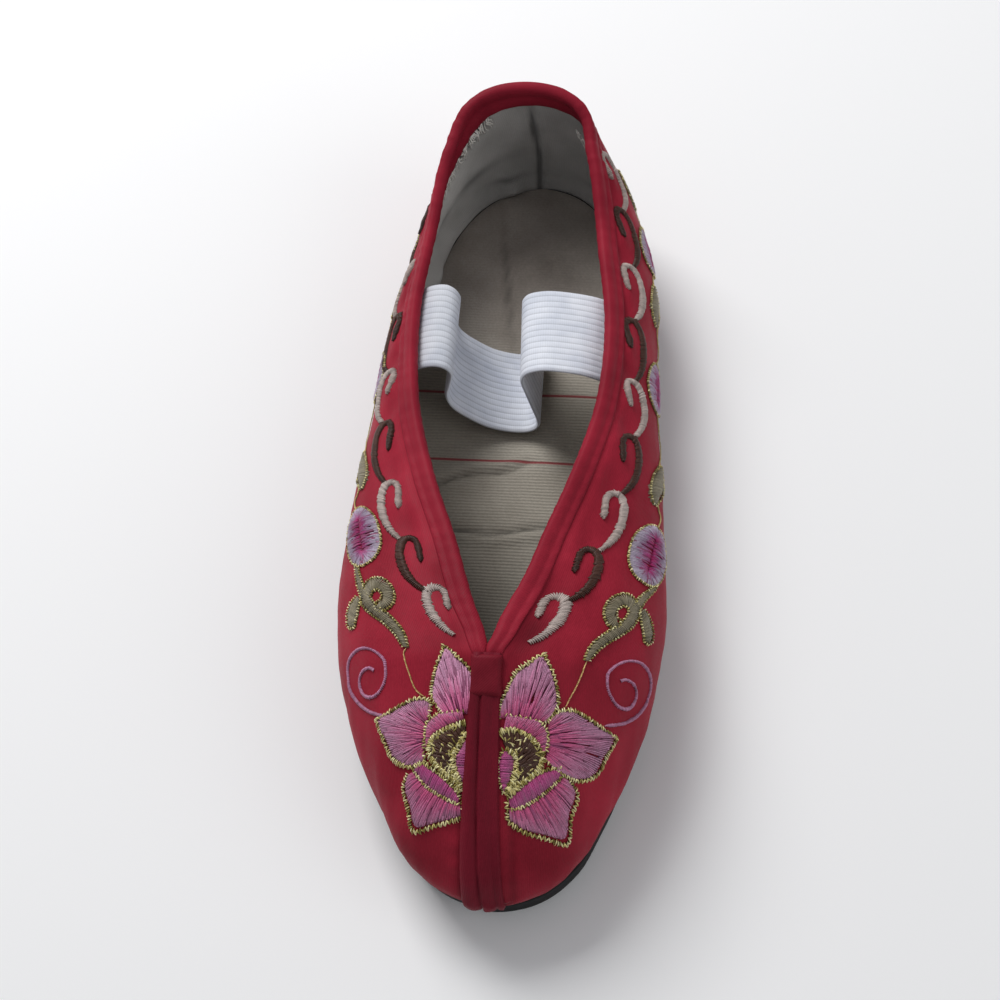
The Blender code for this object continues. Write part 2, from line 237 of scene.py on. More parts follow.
def profiles(s, side):
    """For each station a fine line down the outside of the wall, from the top line to the feather edge."""
    widest = plan_outline(s, side, 0)
    feather = plan_outline(s, side, last(s, "tuck"))
    floor = last(s, "sole_top") + GAP
    belly = last(s, "sole_top") + last(s, "widest")
    top = top_line(s, side)
    turn = np.radians(smooth(s, TURN["station"], TURN["angle"]))
    low_steps = PROFILE_STEPS // 3
    rows = []
    for angle in np.linspace(FEATHER_ANGLE, 0, low_steps, endpoint=False):
        share = (1 - math.cos(angle)) / (1 - math.cos(FEATHER_ANGLE))
        plan = widest + (feather - widest) * share
        height = belly - (belly - floor) * math.sin(angle) / math.sin(FEATHER_ANGLE)
        rows.append(np.column_stack([plan, height]))
    for part in np.linspace(0, 1, PROFILE_STEPS - low_steps):
        angle = turn * part
        share = (1 - np.cos(angle)) / (1 - np.cos(turn))
        plan = widest + (top[:, :2] - widest) * share[:, None]
        height = belly + (top[:, 2] - belly) * np.sin(angle) / np.sin(turn)
        rows.append(np.column_stack([plan, height]))
    return np.stack(rows[::-1], 1)


print("a line of", PROFILE_STEPS, "points down the wall at each station")

# %% [markdown]
# ## A chart of the skin
# Embroidery is drawn flat and lies on a curved shoe, so every place on the wall gets two flat measures:
# `along`, the millimetres from the toe, and `down`, the millimetres from the crest or the collar edge down
# the wall. The chart turns those two, and a side, into a point and an outward normal. The shoe in the frame
# was centred over the origin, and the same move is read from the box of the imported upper.

# %% Chart of the skin
CHART_STATIONS = 401
CHART_DOWN = np.arange(0, 84.0, 0.5)


def chart_side(side):
    """Points of one side by station and depth, their normals, and each station's length of wall."""
    lines = profiles(stations(CHART_STATIONS), side)
    points = np.empty((CHART_STATIONS, len(CHART_DOWN), 3))
    reaches = np.empty(CHART_STATIONS)
    for k, wall_line in enumerate(lines):
        reach = run_along(wall_line)
        reaches[k] = reach[-1]
        for axis in range(3):
            points[k, :, axis] = np.interp(CHART_DOWN, reach, wall_line[:, axis])
        beyond = np.clip(CHART_DOWN - reach[-1], 0, None)
        points[k] += beyond[:, None] * unit(wall_line[-1] - wall_line[-2])
    normals = side * unit(np.cross(np.gradient(points, axis=1), np.gradient(points, axis=0)))
    normals[0], normals[-1] = normals[1], normals[-2]
    normals[[0, -1], :, 0] = 0
    return points, unit(normals), reaches


CHART = {side: chart_side(side) for side in (-1, 1)}
upper_low, upper_high = (np.array(corner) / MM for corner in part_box("upper"))
skin_points = np.concatenate([
    points[CHART_DOWN <= reaches[:, None]] for points, _, reaches in CHART.values()
])
SHIFT = (upper_low + upper_high - skin_points.min(axis=0) - skin_points.max(axis=0)) / 2
SHIFT[2] = 0
for points, _, _ in CHART.values():
    points += SHIFT
print("the shoe was centred by", np.round(SHIFT, 2), "mm")

# %% Places on the wall
COLLAR_DEPTH = 9
HEEL_RISE = 1.2


def chart_place(along):
    turn = np.arccos(np.clip(1 - 2 * np.asarray(along, float) / LENGTH, -1, 1))
    return turn / math.pi * (CHART_STATIONS - 1)


def bilinear(grid, i, j):
    i0 = np.clip(i.astype(int), 0, grid.shape[0] - 2)
    j0 = np.clip(j.astype(int), 0, grid.shape[1] - 2)
    u, v = (i - i0)[..., None], (j - j0)[..., None]
    near = grid[i0, j0] * (1 - v) + grid[i0, j0 + 1] * v
    far = grid[i0 + 1, j0] * (1 - v) + grid[i0 + 1, j0 + 1] * v
    return near * (1 - u) + far * u


def skew(along, down, side):
    """How far wear has pulled the collar aside: the throat to the left, the left edge in at the waist."""
    pull = -1.4 * bell(along, 53, 5)
    if side > 0:
        pull = pull - 2.0 * bell(along, 65, 11) * climb(along, 53, 61)
        return pull * bell(down, 0, COLLAR_DEPTH)
    pull = pull + 1.7 * bell(along, 145, 36) - 1.5 * bell(along, 220, 17) * climb(along, LENGTH, LENGTH - 16)
    return pull * bell(down, 0, COLLAR_DEPTH) + 1.5 * bell(along, 187, 19) * bell(down, 16, 13)


def wall_at(along, down, side):
    """Points and outward normals of the plain wall."""
    along, down = np.broadcast_arrays(np.asarray(along, float), np.asarray(down, float))
    points, normals, _ = CHART[side]
    i, j = chart_place(along), down / CHART_DOWN[1]
    place = bilinear(points, i, j)
    place[..., 0] += skew(along, down, side)
    place[..., 2] += HEEL_RISE * bell(along, LENGTH, 8) * bell(down, 0, COLLAR_DEPTH)
    return place, unit(bilinear(normals, i, j))


def reach_at(along, side):
    """The length of the wall's section, from the top line to the feather edge."""
    return np.interp(chart_place(along), np.arange(CHART_STATIONS), CHART[side][2])


print("the wall at the heel is", round(float(reach_at(LENGTH, 1)), 1), "mm high")

# %% [markdown]
# ## Camera
# The photograph looks down on the shoe from in front of the toe, a little from the right. A camera is easiest
# to place by the angles of its line of sight: turn, height, roll and distance from a point inside the shoe.
# Its lens gives the same perspective as the photograph, so the toe looks larger than the heel.

# %% Camera
VIEW_TURN, VIEW_HEIGHT, VIEW_ROLL = (math.radians(angle) for angle in (7.787, 59.613, -4.243))
VIEW_DISTANCE = 451.04
VIEW_TARGET = np.array([-5.113, -6.19, 20.0]) + SHIFT
VIEW_LENS = 57.6
VIEW_SENSOR = 36


def stand(thing, right, up, back, place):
    """Put a camera or a lamp at a place in metres, with its own axes along three directions."""
    axes = np.eye(4)
    axes[:3] = np.column_stack([right, up, back, place])
    thing.matrix_world = Matrix(axes.tolist())
    bpy.context.scene.collection.objects.link(thing)


backward = np.array([
    math.sin(VIEW_TURN) * math.cos(VIEW_HEIGHT),
    -math.cos(VIEW_TURN) * math.cos(VIEW_HEIGHT),
    math.sin(VIEW_HEIGHT),
])
level = unit(np.cross(-backward, (0, 0, 1)))
upward = np.cross(level, -backward)
view_right = math.cos(VIEW_ROLL) * level + math.sin(VIEW_ROLL) * upward
view_up = -math.sin(VIEW_ROLL) * level + math.cos(VIEW_ROLL) * upward
view_place = (VIEW_TARGET + backward * VIEW_DISTANCE) * MM
camera_data = bpy.data.cameras.new("camera")
camera_data.sensor_width = VIEW_SENSOR
camera_data.lens = VIEW_LENS
camera = bpy.data.objects.new("camera", camera_data)
stand(camera, view_right, view_up, backward, view_place)
bpy.context.scene.camera = camera
print("camera at", np.round(view_place, 3), "m")

# %% [markdown]
# ## Finishes
# Every material here is a Principled shader fed by a few texture nodes. One small function adds a node with
# its settings and links and returns the output that the next node reads, so that a finish reads like a
# recipe: what varies, over what size, and how much of it shows.

# %% Colours and nodes
def colour(code):
    """An sRGB hex code as the linear colour that Blender's sockets take."""
    parts = [int(code[i:i + 2], 16) / 255 for i in (1, 3, 5)]
    return tuple(c / 12.92 if c <= 0.04045 else ((c + 0.055) / 1.055) ** 2.4 for c in parts) + (1.0,)


def plug(tree, node, links):
    """Give a node's sockets, by name or number, a plain value or another node's output."""
    for key, value in links.items():
        if isinstance(value, bpy.types.NodeSocket):
            tree.links.new(value, node.inputs[key])
        else:
            node.inputs[key].default_value = value


def add(tree, kind, output, links=None, stops=(), **settings):
    """Add a node with its settings and links and return one output; stops are the colours of a ramp."""
    node = tree.nodes.new("ShaderNode" + kind)
    for name, value in settings.items():
        setattr(node, name, value)
    for k, (place, code) in enumerate(stops):
        points = node.color_ramp.elements
        point = points[k] if k < len(points) else points.new(place)
        point.position = place
        point.color = colour(code)
    plug(tree, node, links or {})
    return node.outputs[output]


def new_material(name):
    """An empty material with a Principled shader; returns it, its tree and the shader."""
    material = bpy.data.materials.new(name)
    material.use_nodes = True
    return material, material.node_tree, material.node_tree.nodes["Principled BSDF"]


print("satin red, linear:", np.round(colour("#a12637"), 3))

# %% [markdown]
# ## Floor and light
# A plain pale floor and soft light let the cloth speak. Large area lamps act like the bright window of a
# studio: the bigger the lamp, the softer the shadow edge. The main lamp stands behind the heel to the left,
# where the photograph's brightest satin is, and a weak one fills the toe.

# %% Floor
def mesh_of(body, name):
    mesh = bpy.data.meshes.new(name)
    body.to_mesh(mesh)
    body.free()
    return mesh


FLOOR_RADIUS = 3.0
floor_body = bmesh.new()
bmesh.ops.create_circle(floor_body, cap_ends=True, segments=64, radius=FLOOR_RADIUS)
floor_mesh = mesh_of(floor_body, "floor")
paper, tree, shader = new_material("matt paper backdrop")
plug(tree, shader, {"Base Color": colour("#f6f6f6"), "Roughness": 0.9})
floor_mesh.materials.append(paper)
floor = bpy.data.objects.new("floor", floor_mesh)
bpy.context.scene.collection.objects.link(floor)
floor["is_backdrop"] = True
print("a floor", 2 * FLOOR_RADIUS, "m across")

# %% Lamps
LAMP_AIM = np.array([0, 0, 0.03])


def lamp(name, place, size, power):
    """A square area lamp that faces the shoe."""
    data = bpy.data.lights.new(name, "AREA")
    data.size = size
    data.energy = power
    away = unit(np.array(place) - LAMP_AIM)
    side = unit(np.cross((0.0, 0.0, 1.0), away))
    stand(bpy.data.objects.new(name, data), side, np.cross(away, side), away, place)


lamp("window", (-0.55, 0.75, 0.95), 0.7, 15.0)
lamp("fill", (1.05, -0.5, 0.7), 1.0, 3.4)
world = bpy.context.scene.world or bpy.data.worlds.new("studio")
bpy.context.scene.world = world
world.use_nodes = True
sky = world.node_tree.nodes["Background"]
sky.inputs["Color"].default_value = colour("#f4f6fb")
sky.inputs["Strength"].default_value = 0.32
bpy.context.scene.view_settings.view_transform = "Standard"
print("two lamps and a pale sky")

# %% [markdown]
# ## Helpers for cloth pieces
# A sheet of cloth starts as Blender's own grid, whose vertices are then moved onto the shoe. Each vertex also
# remembers where it lies on the flat cloth, in millimetres, in an attribute named `cloth`: a weave that reads
# this attribute follows the cloth round every curve, which a pattern in space could not. Where a piece is
# darkened, a third number tells how much: dirt and wear, and painted shade in creases, seams and corners.

# %% Grid, band and piece
def cloth_grid(points, cloth, flip=False):
    """A sheet whose vertex at [column, row] lies at points[column, row], in millimetres."""
    columns, rows = points.shape[:2]
    sheet = bmesh.new()
    bmesh.ops.create_grid(sheet, x_segments=columns - 1, y_segments=rows - 1, size=0.5)
    layer = sheet.verts.layers.float_vector.new("cloth")
    for vertex in sheet.verts:
        i = round((vertex.co.x + 0.5) * (columns - 1))
        j = round((vertex.co.y + 0.5) * (rows - 1))
        vertex.co = points[i, j] * MM
        vertex[layer] = (*cloth[i, j], 0)[:3]
    bmesh.ops.remove_doubles(sheet, verts=sheet.verts, dist=1e-6)
    if flip:
        bmesh.ops.reverse_faces(sheet, faces=sheet.faces)
    return sheet


def flat_measure(points):
    """Millimetres along and across a grid, measured on its middle lines."""
    columns, rows = points.shape[:2]
    along, across = run_along(points[:, rows // 2]), run_along(points[columns // 2])
    return np.stack(np.meshgrid(along, across, indexing="ij"), -1)


def closed_band(rings, cloth=None):
    """A body from a row of rings, with its two ends filled and its faces outwards."""
    cloth = flat_measure(rings) if cloth is None else cloth
    body = cloth_grid(np.concatenate([rings, rings[:, :1]], 1), np.concatenate([cloth, cloth[:, :1]], 1))
    rims = [edge for edge in body.edges if edge.is_boundary]
    bmesh.ops.holes_fill(body, edges=rims, sides=0)
    bmesh.ops.recalc_face_normals(body, faces=body.faces)
    return body


def add_piece(shape, name, material, stands_for=None, wall=0.0):
    """Turn a bmesh or a mesh into a piece that rides on the shoe; wall thickens a sheet, inwards."""
    mesh = shape if isinstance(shape, bpy.types.Mesh) else mesh_of(shape, name)
    mesh.materials.append(material)
    mesh.shade_smooth()
    piece = bpy.data.objects.new(name, mesh)
    bpy.context.scene.collection.objects.link(piece)
    if wall:
        thick = piece.modifiers.new("thickness", "SOLIDIFY")
        thick.thickness = wall * MM
        thick.offset = -1
    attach(piece, "root")
    if stands_for:
        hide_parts(stands_for)
    print(name, len(mesh.polygons), "faces")
    return piece


# %% [markdown]
# ## Satin
# Satin lets each weft thread float over several warps, so the cloth is smooth and takes a soft broad shine.
# The weave is far finer than a pixel: real threads lie 0.15 mm apart and are drawn three times coarser here
# so that the cloth still reads as woven. Slubs, thicker places in a thread, break the even shine, and some
# street dust greys the cloth just above the sole.

# %% Satin finish
SATIN_THREAD = 0.5
SLUBS_PER_MM = (0.9, 2.2, 1.0)
SATIN_CLOUD = 16.67
DUST_HEIGHTS = (10, 20)


def per_mm(size):
    """A wave's scale for bands of this size, where its coordinates are millimetres."""
    return math.tau / 20 / size


def per_metre(size):
    """A noise's scale for spots of this size in millimetres, where its coordinates are metres."""
    return 1 / (size * MM)


def satin_finish(name, bright, deep, weave_turn):
    """Woven satin: a soft shine that the weave breaks into fine lines."""
    material, tree, shader = new_material(name)
    cloth = add(tree, "Attribute", "Vector", attribute_name="cloth")
    place = add(tree, "TexCoord", "Object")
    laid = add(tree, "Mapping", "Vector", {"Vector": cloth, "Rotation": (0, 0, math.radians(weave_turn))})
    weft = add(tree, "TexWave", "Fac", {
        "Vector": laid, "Scale": per_mm(SATIN_THREAD), "Distortion": 1.0, "Detail": 2.0, "Detail Scale": 1.5,
    }, bands_direction="Y")
    drawn = add(tree, "Mapping", "Vector", {"Vector": laid, "Scale": SLUBS_PER_MM})
    slub = add(tree, "TexNoise", "Fac", {"Vector": drawn, "Scale": 1.0, "Detail": 3.0})
    cloud = add(tree, "TexNoise", "Fac", {"Vector": place, "Scale": per_metre(SATIN_CLOUD), "Detail": 4.0})
    shade = add(tree, "ValToRGB", "Color", {"Fac": cloud}, stops=((0.3, deep), (0.72, bright)))
    fine = add(tree, "MapRange", "Result", {
        "Value": slub, "From Min": 0.3, "From Max": 0.7, "To Min": 0.9, "To Max": 1.05,
    })
    lined = add(tree, "MapRange", "Result", {"Value": weft, "To Min": 0.95, "To Max": 1.03})
    grain = add(tree, "Math", "Value", {0: fine, 1: lined}, operation="MULTIPLY")
    # the cloth's third number is painted shade at the throat, beside the strip and below the scroll heads, and
    # a darkening towards the toe
    painted_shade = add(tree, "SeparateXYZ", "Z", {"Vector": cloth})
    undarkened = add(tree, "MapRange", "Result", {"Value": painted_shade, "To Min": 1.0, "To Max": 0.2})
    grain = add(tree, "Math", "Value", {0: grain, 1: undarkened}, operation="MULTIPLY")
    woven = add(tree, "VectorMath", "Vector", {0: shade, "Scale": grain}, operation="SCALE")
    height = add(tree, "SeparateXYZ", "Z", {"Vector": place})
    low, high = (level * MM for level in DUST_HEIGHTS)
    dust = add(tree, "MapRange", "Result", {
        "Value": height, "From Min": low, "From Max": high, "To Min": 0.45, "To Max": 0.0,
    })
    dusty = add(tree, "Math", "Value", {0: dust, 1: cloud}, operation="MULTIPLY")
    worn = add(tree, "Mix", 2, {0: dusty, 6: woven, 7: colour("#5b3a38")}, data_type="RGBA")
    gloss = add(tree, "MapRange", "Result", {
        "Value": slub, "From Min": 0.3, "From Max": 0.7, "To Min": 0.42, "To Max": 0.58,
    })
    relief = add(tree, "Math", "Value", {0: weft, 1: slub}, operation="ADD")
    bump = add(tree, "Bump", "Normal", {"Height": relief, "Strength": 0.5, "Distance": 0.05 * MM})
    plug(tree, shader, {
        "Base Color": worn, "Roughness": gloss, "Normal": bump, "IOR": 1.5, "Specular IOR Level": 0.06,
        "Sheen Weight": 0.03, "Sheen Roughness": 0.4, "Sheen Tint": colour("#ff5a6e"),
    })
    return material


satin = satin_finish("woven red satin", "#a5293b", "#891f2e", 0)
bias_satin = satin_finish("bias-cut red satin", "#9c2738", "#821e2d", 45)
# the throat tab's satin is darker than the vamp's
tab_satin = satin_finish("darker red satin", "#83202f", "#6c1925", 45)
strip_satin = satin_finish("folded red satin", "#7c1e2e", "#671825", 8)
print("satin with threads drawn", SATIN_THREAD, "mm apart")

# %% [markdown]
# ## Satin upper
# Two mirrored halves of satin, joined along the toe, are pulled over the last and tucked under at the feather
# edge. Cloth on a last is never perfectly smooth: it sinks at a seam, swells beside it, and gathers round
# stitches. Those troughs and ridges are given as soft bumps in millimetres on the chart.

# %% Give of the satin
# along, down, side, length, width and height of each soft dent or swelling
DENTS = (
    (27.0, 38.0, -1, 11.0, 4.5, -0.9), (44.0, 40.0, -1, 8.0, 5.0, -0.5), (22.0, 30.0, 1, 10.0, 4.0, -0.7),
    (36.0, 40.0, 1, 12.0, 4.0, -0.6), (60.0, 17.0, 1, 9.0, 4.0, -0.6), (76.0, 7.5, 1, 7.0, 3.0, -0.7),
    (59.0, 8.0, 1, 9.0, 4.0, -1.0), (62.0, 16.0, -1, 10.0, 4.0, -0.5), (75.0, 24.0, -1, 8.0, 5.0, 0.5),
    (79.0, 22.0, 1, 9.0, 5.0, 0.5), (105.0, 24.0, 1, 9.0, 6.0, -0.6), (132.0, 22.0, -1, 14.0, 5.0, -0.6),
    (165.0, 20.0, 1, 12.0, 5.0, -0.5), (210.0, 22.0, -1, 12.0, 6.0, -0.6), (9.0, 14.0, -1, 5.0, 5.0, -0.4),
    (9.0, 14.0, 1, 5.0, 5.0, -0.4),
)
# the joints of the scroll chain that is embroidered below the collar, along and down on each side
CHAIN = {
    1: ((56.8, 8.0), (69.4, 10.9), (87.0, 15.0), (107.0, 15.1), (127.0, 13.5), (146.2, 10.4), (167.8, 8.9),
        (187.8, 10.4), (207.4, 9.8), (224.0, 8.0)),
    -1: ((57.4, 7.2), (70.2, 9.9), (88.0, 14.3), (107.3, 13.8), (128.3, 11.6), (147.0, 10.4), (168.0, 10.2),
         (188.0, 10.6), (207.5, 10.2), (224.0, 9.0)),
}
DEEPEST_DENT = 1.2
BACK_SEAM_FROM = 60
FAR_AWAY = 99.0


def bumps(rows, along, down, side, drift=0.0):
    """The sum of the soft bumps of one side; drift tilts them, in millimetres down for each one along."""
    total = 0 * along
    for place, depth, bump_side, length, width, height in rows:
        if bump_side == side:
            middle = depth + (along - place) * drift
            total = total + height * bell(along, place, length) * bell(down, middle, width)
    return total


def give(along, down, side):
    """How far the satin stands off the plain wall, in millimetres."""
    along, down = np.broadcast_arrays(np.asarray(along, float), np.asarray(down, float))
    reach = reach_at(along, side)
    behind = climb(along, 50, 58)
    ripple = np.sin(along * 1.15 + 2 * np.sin(along * 0.23 + side))
    seam = -0.26 * bell(down, 5.3, 0.8) + (0.16 + 0.10 * ripple) * bell(down, 7.4, 1.5)
    strip = -0.35 * bell(down, 6.2, 1.1) + 0.14 * ripple * bell(down, 8.0, 2.2)
    lift = behind * seam + (1 - behind) * strip + bumps(DENTS, along, down, side)
    for place, depth in CHAIN[side][1:]:
        valley = depth - 3.0 - (along - place) * 0.3
        lift = lift - 1.0 * bell(along, place + 3.0, 4.5) * bell(down, valley, 2.6)
        lift = lift + 0.4 * bell(along, place - 7.0, 4.0) * bell(down, depth - 1.5, 2.2)
    broad = np.sin(along * 0.21 + 1.3 * side) * np.sin(down * 0.27 + along * 0.05)
    fine = np.sin(along * 0.55 + down * 0.35) * np.sin(down * 0.62 - along * 0.18 + side)
    gather = np.sin(along * 1.7 + np.sin(along * 0.4)) * climb(down, reach - 9, reach)
    lift = lift + 0.16 * broad + 0.07 * fine + 0.12 * gather
    lift = lift * climb(down, 3, 6) * climb(down, reach, reach - 5)
    return np.where(lift < 0, DEEPEST_DENT * np.tanh(lift / DEEPEST_DENT), lift)


def off_middle(points, middle):
    """How far a place at the heel lies from a back seam, across the shoe, or a large number elsewhere."""
    return np.where(points[..., 1] > BACK_SEAM_FROM, np.abs(points[..., 0] - middle), FAR_AWAY)


def skin_at(along, down, side, lift=0.0):
    """Points and normals of the satin itself, raised by lift millimetres."""
    points, normals = wall_at(along, down, side)
    off_seam = off_middle(points, wall_at(LENGTH, 12, 1)[0][0])
    seam = 0.16 * bell(off_seam, 2.2, 1.2) - 0.42 * bell(off_seam, 0, 0.75)
    raised = give(along, down, side) + lift + seam * climb(np.asarray(down), 4, 6)
    return points + normals * raised[..., None], normals


print(len(DENTS), "soft dents and swellings")

# %% Satin upper
UPPER_COLUMNS = 221
UPPER_ROWS = 63
SATIN_WALL = 0.8


def upper_layer(columns, rows, place, soil_and_shade):
    """A grid round the whole wall, heel to toe on the left and back: place gives points, soil_and_shade
    darkening.
    """
    run = LENGTH * stations(columns)
    points, cloth = [], []
    for side, along in [(-1, a) for a in run[:0:-1]] + [(1, a) for a in run]:
        down = np.linspace(0, 1, rows) * reach_at(along, side)
        along = np.full(rows, along)
        points.append(place(along, down, side))
        cloth.append(np.column_stack([along, down, soil_and_shade(along, down, side)]))
    points, cloth = np.array(points), np.array(cloth)
    middle = columns - 1
    girth = run_along(points[:, rows // 2])
    cloth[..., 0] = np.abs(girth - girth[middle])[:, None]
    points[-1] = points[0]
    for i in np.flatnonzero(run <= THROAT * LENGTH + 1e-6):
        pair = [middle + i, middle - i]
        points[pair, 0] = points[pair, 0].mean(axis=0)
    return points, cloth


def satin_painted_shade(along, down, side):
    """Painted shade at the throat, beside the strip and below the scroll heads, and darker towards the toe, 0
    to 1.
    """
    if side > 0:
        throat = 0.75 * bell(along, 60, 8) * bell(down, 7, 4.5)
    else:
        throat = 0.2 * bell(along, 58, 6) * bell(down, 7, 3)
    beside_strip = 0.3 * bell(down, 6.0, 1.3) * climb(along, 50, 44)
    toe = 0.15 * climb(along, 22, 8)
    creases = sum(0.16 * bell(along, a + 3.0, 4.0) * bell(down, d - 3.5, 2.4) for a, d in CHAIN[side][1:])
    return np.clip(throat + beside_strip + toe + creases, 0, 1)


def satin_at(along, down, side):
    return skin_at(along, down, side)[0]


upper_body = cloth_grid(*upper_layer(UPPER_COLUMNS, UPPER_ROWS, satin_at, satin_painted_shade), flip=True)
add_piece(upper_body, "satin_upper", satin, "upper", wall=SATIN_WALL)

# %% [markdown]
# ## Cotton lining
# Inside, a greyish cotton lining takes the foot's wear. It follows the wall, one wall's thickness further in,
# with a vertical seam at the back and soft folds where the heel has pressed it down. A plain weave shows as a
# fine chequer of threads, here drawn 0.6 mm apart. Painted shade darkens the back seam, the fold valleys and
# the heel, and the cloth is also darker below the binding and towards the insole.

# %% Lining finish
LINING_THREAD = 0.6
LINING_STAIN = 13.33


def cotton_finish(name, bright, deep):
    """Plain-woven cotton: dull, a little hairy, with a chequer of threads."""
    material, tree, shader = new_material(name)
    cloth = add(tree, "Attribute", "Vector", attribute_name="cloth")
    place = add(tree, "TexCoord", "Object")
    thread = {"Scale": per_mm(LINING_THREAD), "Distortion": 1.5, "Detail": 1.0, "Detail Scale": 2.0}
    warp = add(tree, "TexWave", "Fac", {"Vector": cloth, **thread}, bands_direction="X")
    weft = add(tree, "TexWave", "Fac", {"Vector": cloth, **thread}, bands_direction="Y")
    weave = add(tree, "Math", "Value", {0: warp, 1: weft}, operation="MULTIPLY")
    stain = add(tree, "TexNoise", "Fac", {"Vector": place, "Scale": per_metre(LINING_STAIN), "Detail": 6.0})
    shade = add(tree, "ValToRGB", "Color", {"Fac": stain}, stops=((0.32, deep), (0.68, bright)))
    fibre = add(tree, "MapRange", "Result", {"Value": weave, "To Min": 0.92, "To Max": 1.06})
    # the cloth's third number darkens the cotton: painted shade, and a darker band below the binding and near
    # the insole
    soil_and_shade = add(tree, "SeparateXYZ", "Z", {"Vector": cloth})
    undarkened = add(tree, "MapRange", "Result", {"Value": soil_and_shade, "To Min": 1.0, "To Max": 0.25})
    fibre = add(tree, "Math", "Value", {0: fibre, 1: undarkened}, operation="MULTIPLY")
    woven = add(tree, "VectorMath", "Vector", {0: shade, "Scale": fibre}, operation="SCALE")
    bump = add(tree, "Bump", "Normal", {"Height": weave, "Strength": 0.6, "Distance": 0.12 * MM})
    plug(tree, shader, {
        "Base Color": woven, "Normal": bump,
        "Roughness": 0.92, "Specular IOR Level": 0.2, "Sheen Weight": 0.3,
    })
    return material


lining_cotton = cotton_finish("grey lining cotton", "#d3d1cc", "#b8b6b1")
print("cotton with threads drawn", LINING_THREAD, "mm apart")

# %% Lining
LINING_COLUMNS = 191
LINING_ROWS = 61
LINING_WALL = 0.5
# along, down, side, length, width and height of each fold, which slants down towards the heel
LINING_FOLDS = (
    (206.0, 20.0, -1, 14.0, 3.0, 1.6), (190.0, 25.0, -1, 12.0, 3.0, 1.3), (222.0, 30.0, 1, 10.0, 3.0, 1.1),
    (228.0, 22.0, -1, 7.0, 4.0, 0.9), (150.0, 22.0, 1, 16.0, 3.0, 0.8),
)
FOLD_SLANT = 0.25
# where the lining gathers over the edge of the insole: along, side, length and height
LINING_FOOT = ((194.0, -1, 12.0, 4.6), (160.0, -1, 12.0, 2.2), (216.0, 1, 9.0, 1.6), (237.2, -1, 2.2, 4.4))


def off_back_seam(points):
    """How far a place lies from the lining's back seam, which leans to the right towards the insole."""
    return off_middle(points, wall_at(LENGTH, 0, 1)[0][0] + 2.8 - 2.4 * climb(points[..., 2], 24, 46))


def lining_at(along, down, side):
    """Points of the lining."""
    points, normals = wall_at(along, down, side)
    reach = reach_at(along, side)
    depth = WALL - 0.1 + bumps(LINING_FOLDS, along, down, side, FOLD_SLANT)
    for place, foot_side, length, height in LINING_FOOT:
        if foot_side == side:
            depth = depth + height * bell(along, place, length) * bell(down, reach - 3, 5.5)
    depth = depth + 0.9 * bell(down, reach - 2, 3)
    soft = np.sin(along * 0.31 + side) * np.sin(down * 0.36 + along * 0.07)
    off_seam = off_back_seam(points)
    seam = 0.45 * bell(off_seam, 2.0, 1.2) - 0.7 * bell(off_seam, 0, 0.8)
    depth = depth + climb(down, 6, 10) * (0.25 + 0.25 * soft + seam)
    return points - normals * np.maximum(depth, WALL - 0.5)[..., None]


def lining_painted_shade(along, down, side):
    """Painted shade in the back seam, fold valleys, heel and pouch, darker below the binding and near the
    insole, 0 to 1.
    """
    reach = reach_at(along, side)
    off_seam = off_back_seam(wall_at(along, down, side)[0])
    seam = 0.75 * bell(off_seam, 0, 0.8) * (0.3 + 0.7 * climb(down, 9, 17))
    seam = seam + 0.5 * bell(off_seam, 0, 2.0) * bell(down, 19, 4.5)
    raw_edge = bell(down, 9.9, 1.5) * climb(along, 186, 192) * climb(along, 236, 232)
    # raw_edge is a darker band below the binding; the last term is painted shade over the heel
    soil_and_shade = seam + (0.85 if side < 0 else 0.4) * raw_edge + 0.36 * climb(along, 218, 230)
    if side < 0:
        soil_and_shade = soil_and_shade + 0.4 * bell(along, 236.5, 2.6) * bell(down, reach - 7.5, 1.1)
    drift = 0.5 * np.sin(down * 0.25)
    for place, fall, fold_side, length, width, _ in LINING_FOLDS:
        if fold_side == side:
            valley = fall + (along - place) * FOLD_SLANT + width * 1.1 + drift
            soil_and_shade = soil_and_shade + 0.5 * bell(along, place, length) * bell(down, valley, width * 0.45)
    return np.clip(soil_and_shade + 0.2 * climb(down, reach - 20, reach - 6), 0, 1)


lining_body = cloth_grid(*upper_layer(LINING_COLUMNS, LINING_ROWS, lining_at, lining_painted_shade))
add_piece(lining_body, "lining", lining_cotton, wall=LINING_WALL)

# %% [markdown]
# ## Collar binding
# The raw edge of the collar is wrapped in a narrow tape of satin cut on the bias, so that it bends round the
# curve. Sewn in the ditch, it rolls into a puffy bead along the rim with a flat leg below it. It is made as a
# ring, the tape's own section, that is carried round the collar and puckered a little by the sewing.

# %% Binding
# how far down the wall, and how far off it, the outside leg and the inside leg pass
BINDING_OUTSIDE = ((4.8, 0.04), (4.6, 0.22), (4.2, 0.36), (3.7, 0.38), (3.2, 0.34), (2.8, 0.27), (2.4, 0.36),
                   (1.8, 0.64), (1.1, 0.8), (0.5, 0.84))
BINDING_INSIDE = ((0.6, 0.8), (1.4, 0.66), (2.1, 0.4), (2.6, 0.18), (3.2, 0.36), (4.4, 0.46), (5.4, 0.4),
                  (5.7, 0.1))
BINDING_HIDDEN = ((4.0, 0.1), (1.5, 0.1))
BINDING_START = 49.5
BINDING_JOIN = 53.0
BINDING_COLUMNS = 230
BEAD_HEIGHT = 1.25
BEAD_OFF = 0.84


def inside_depth(along):
    """How much deeper the inside leg reaches towards the heel."""
    return 1 + 0.35 * climb(along, 170, 210)


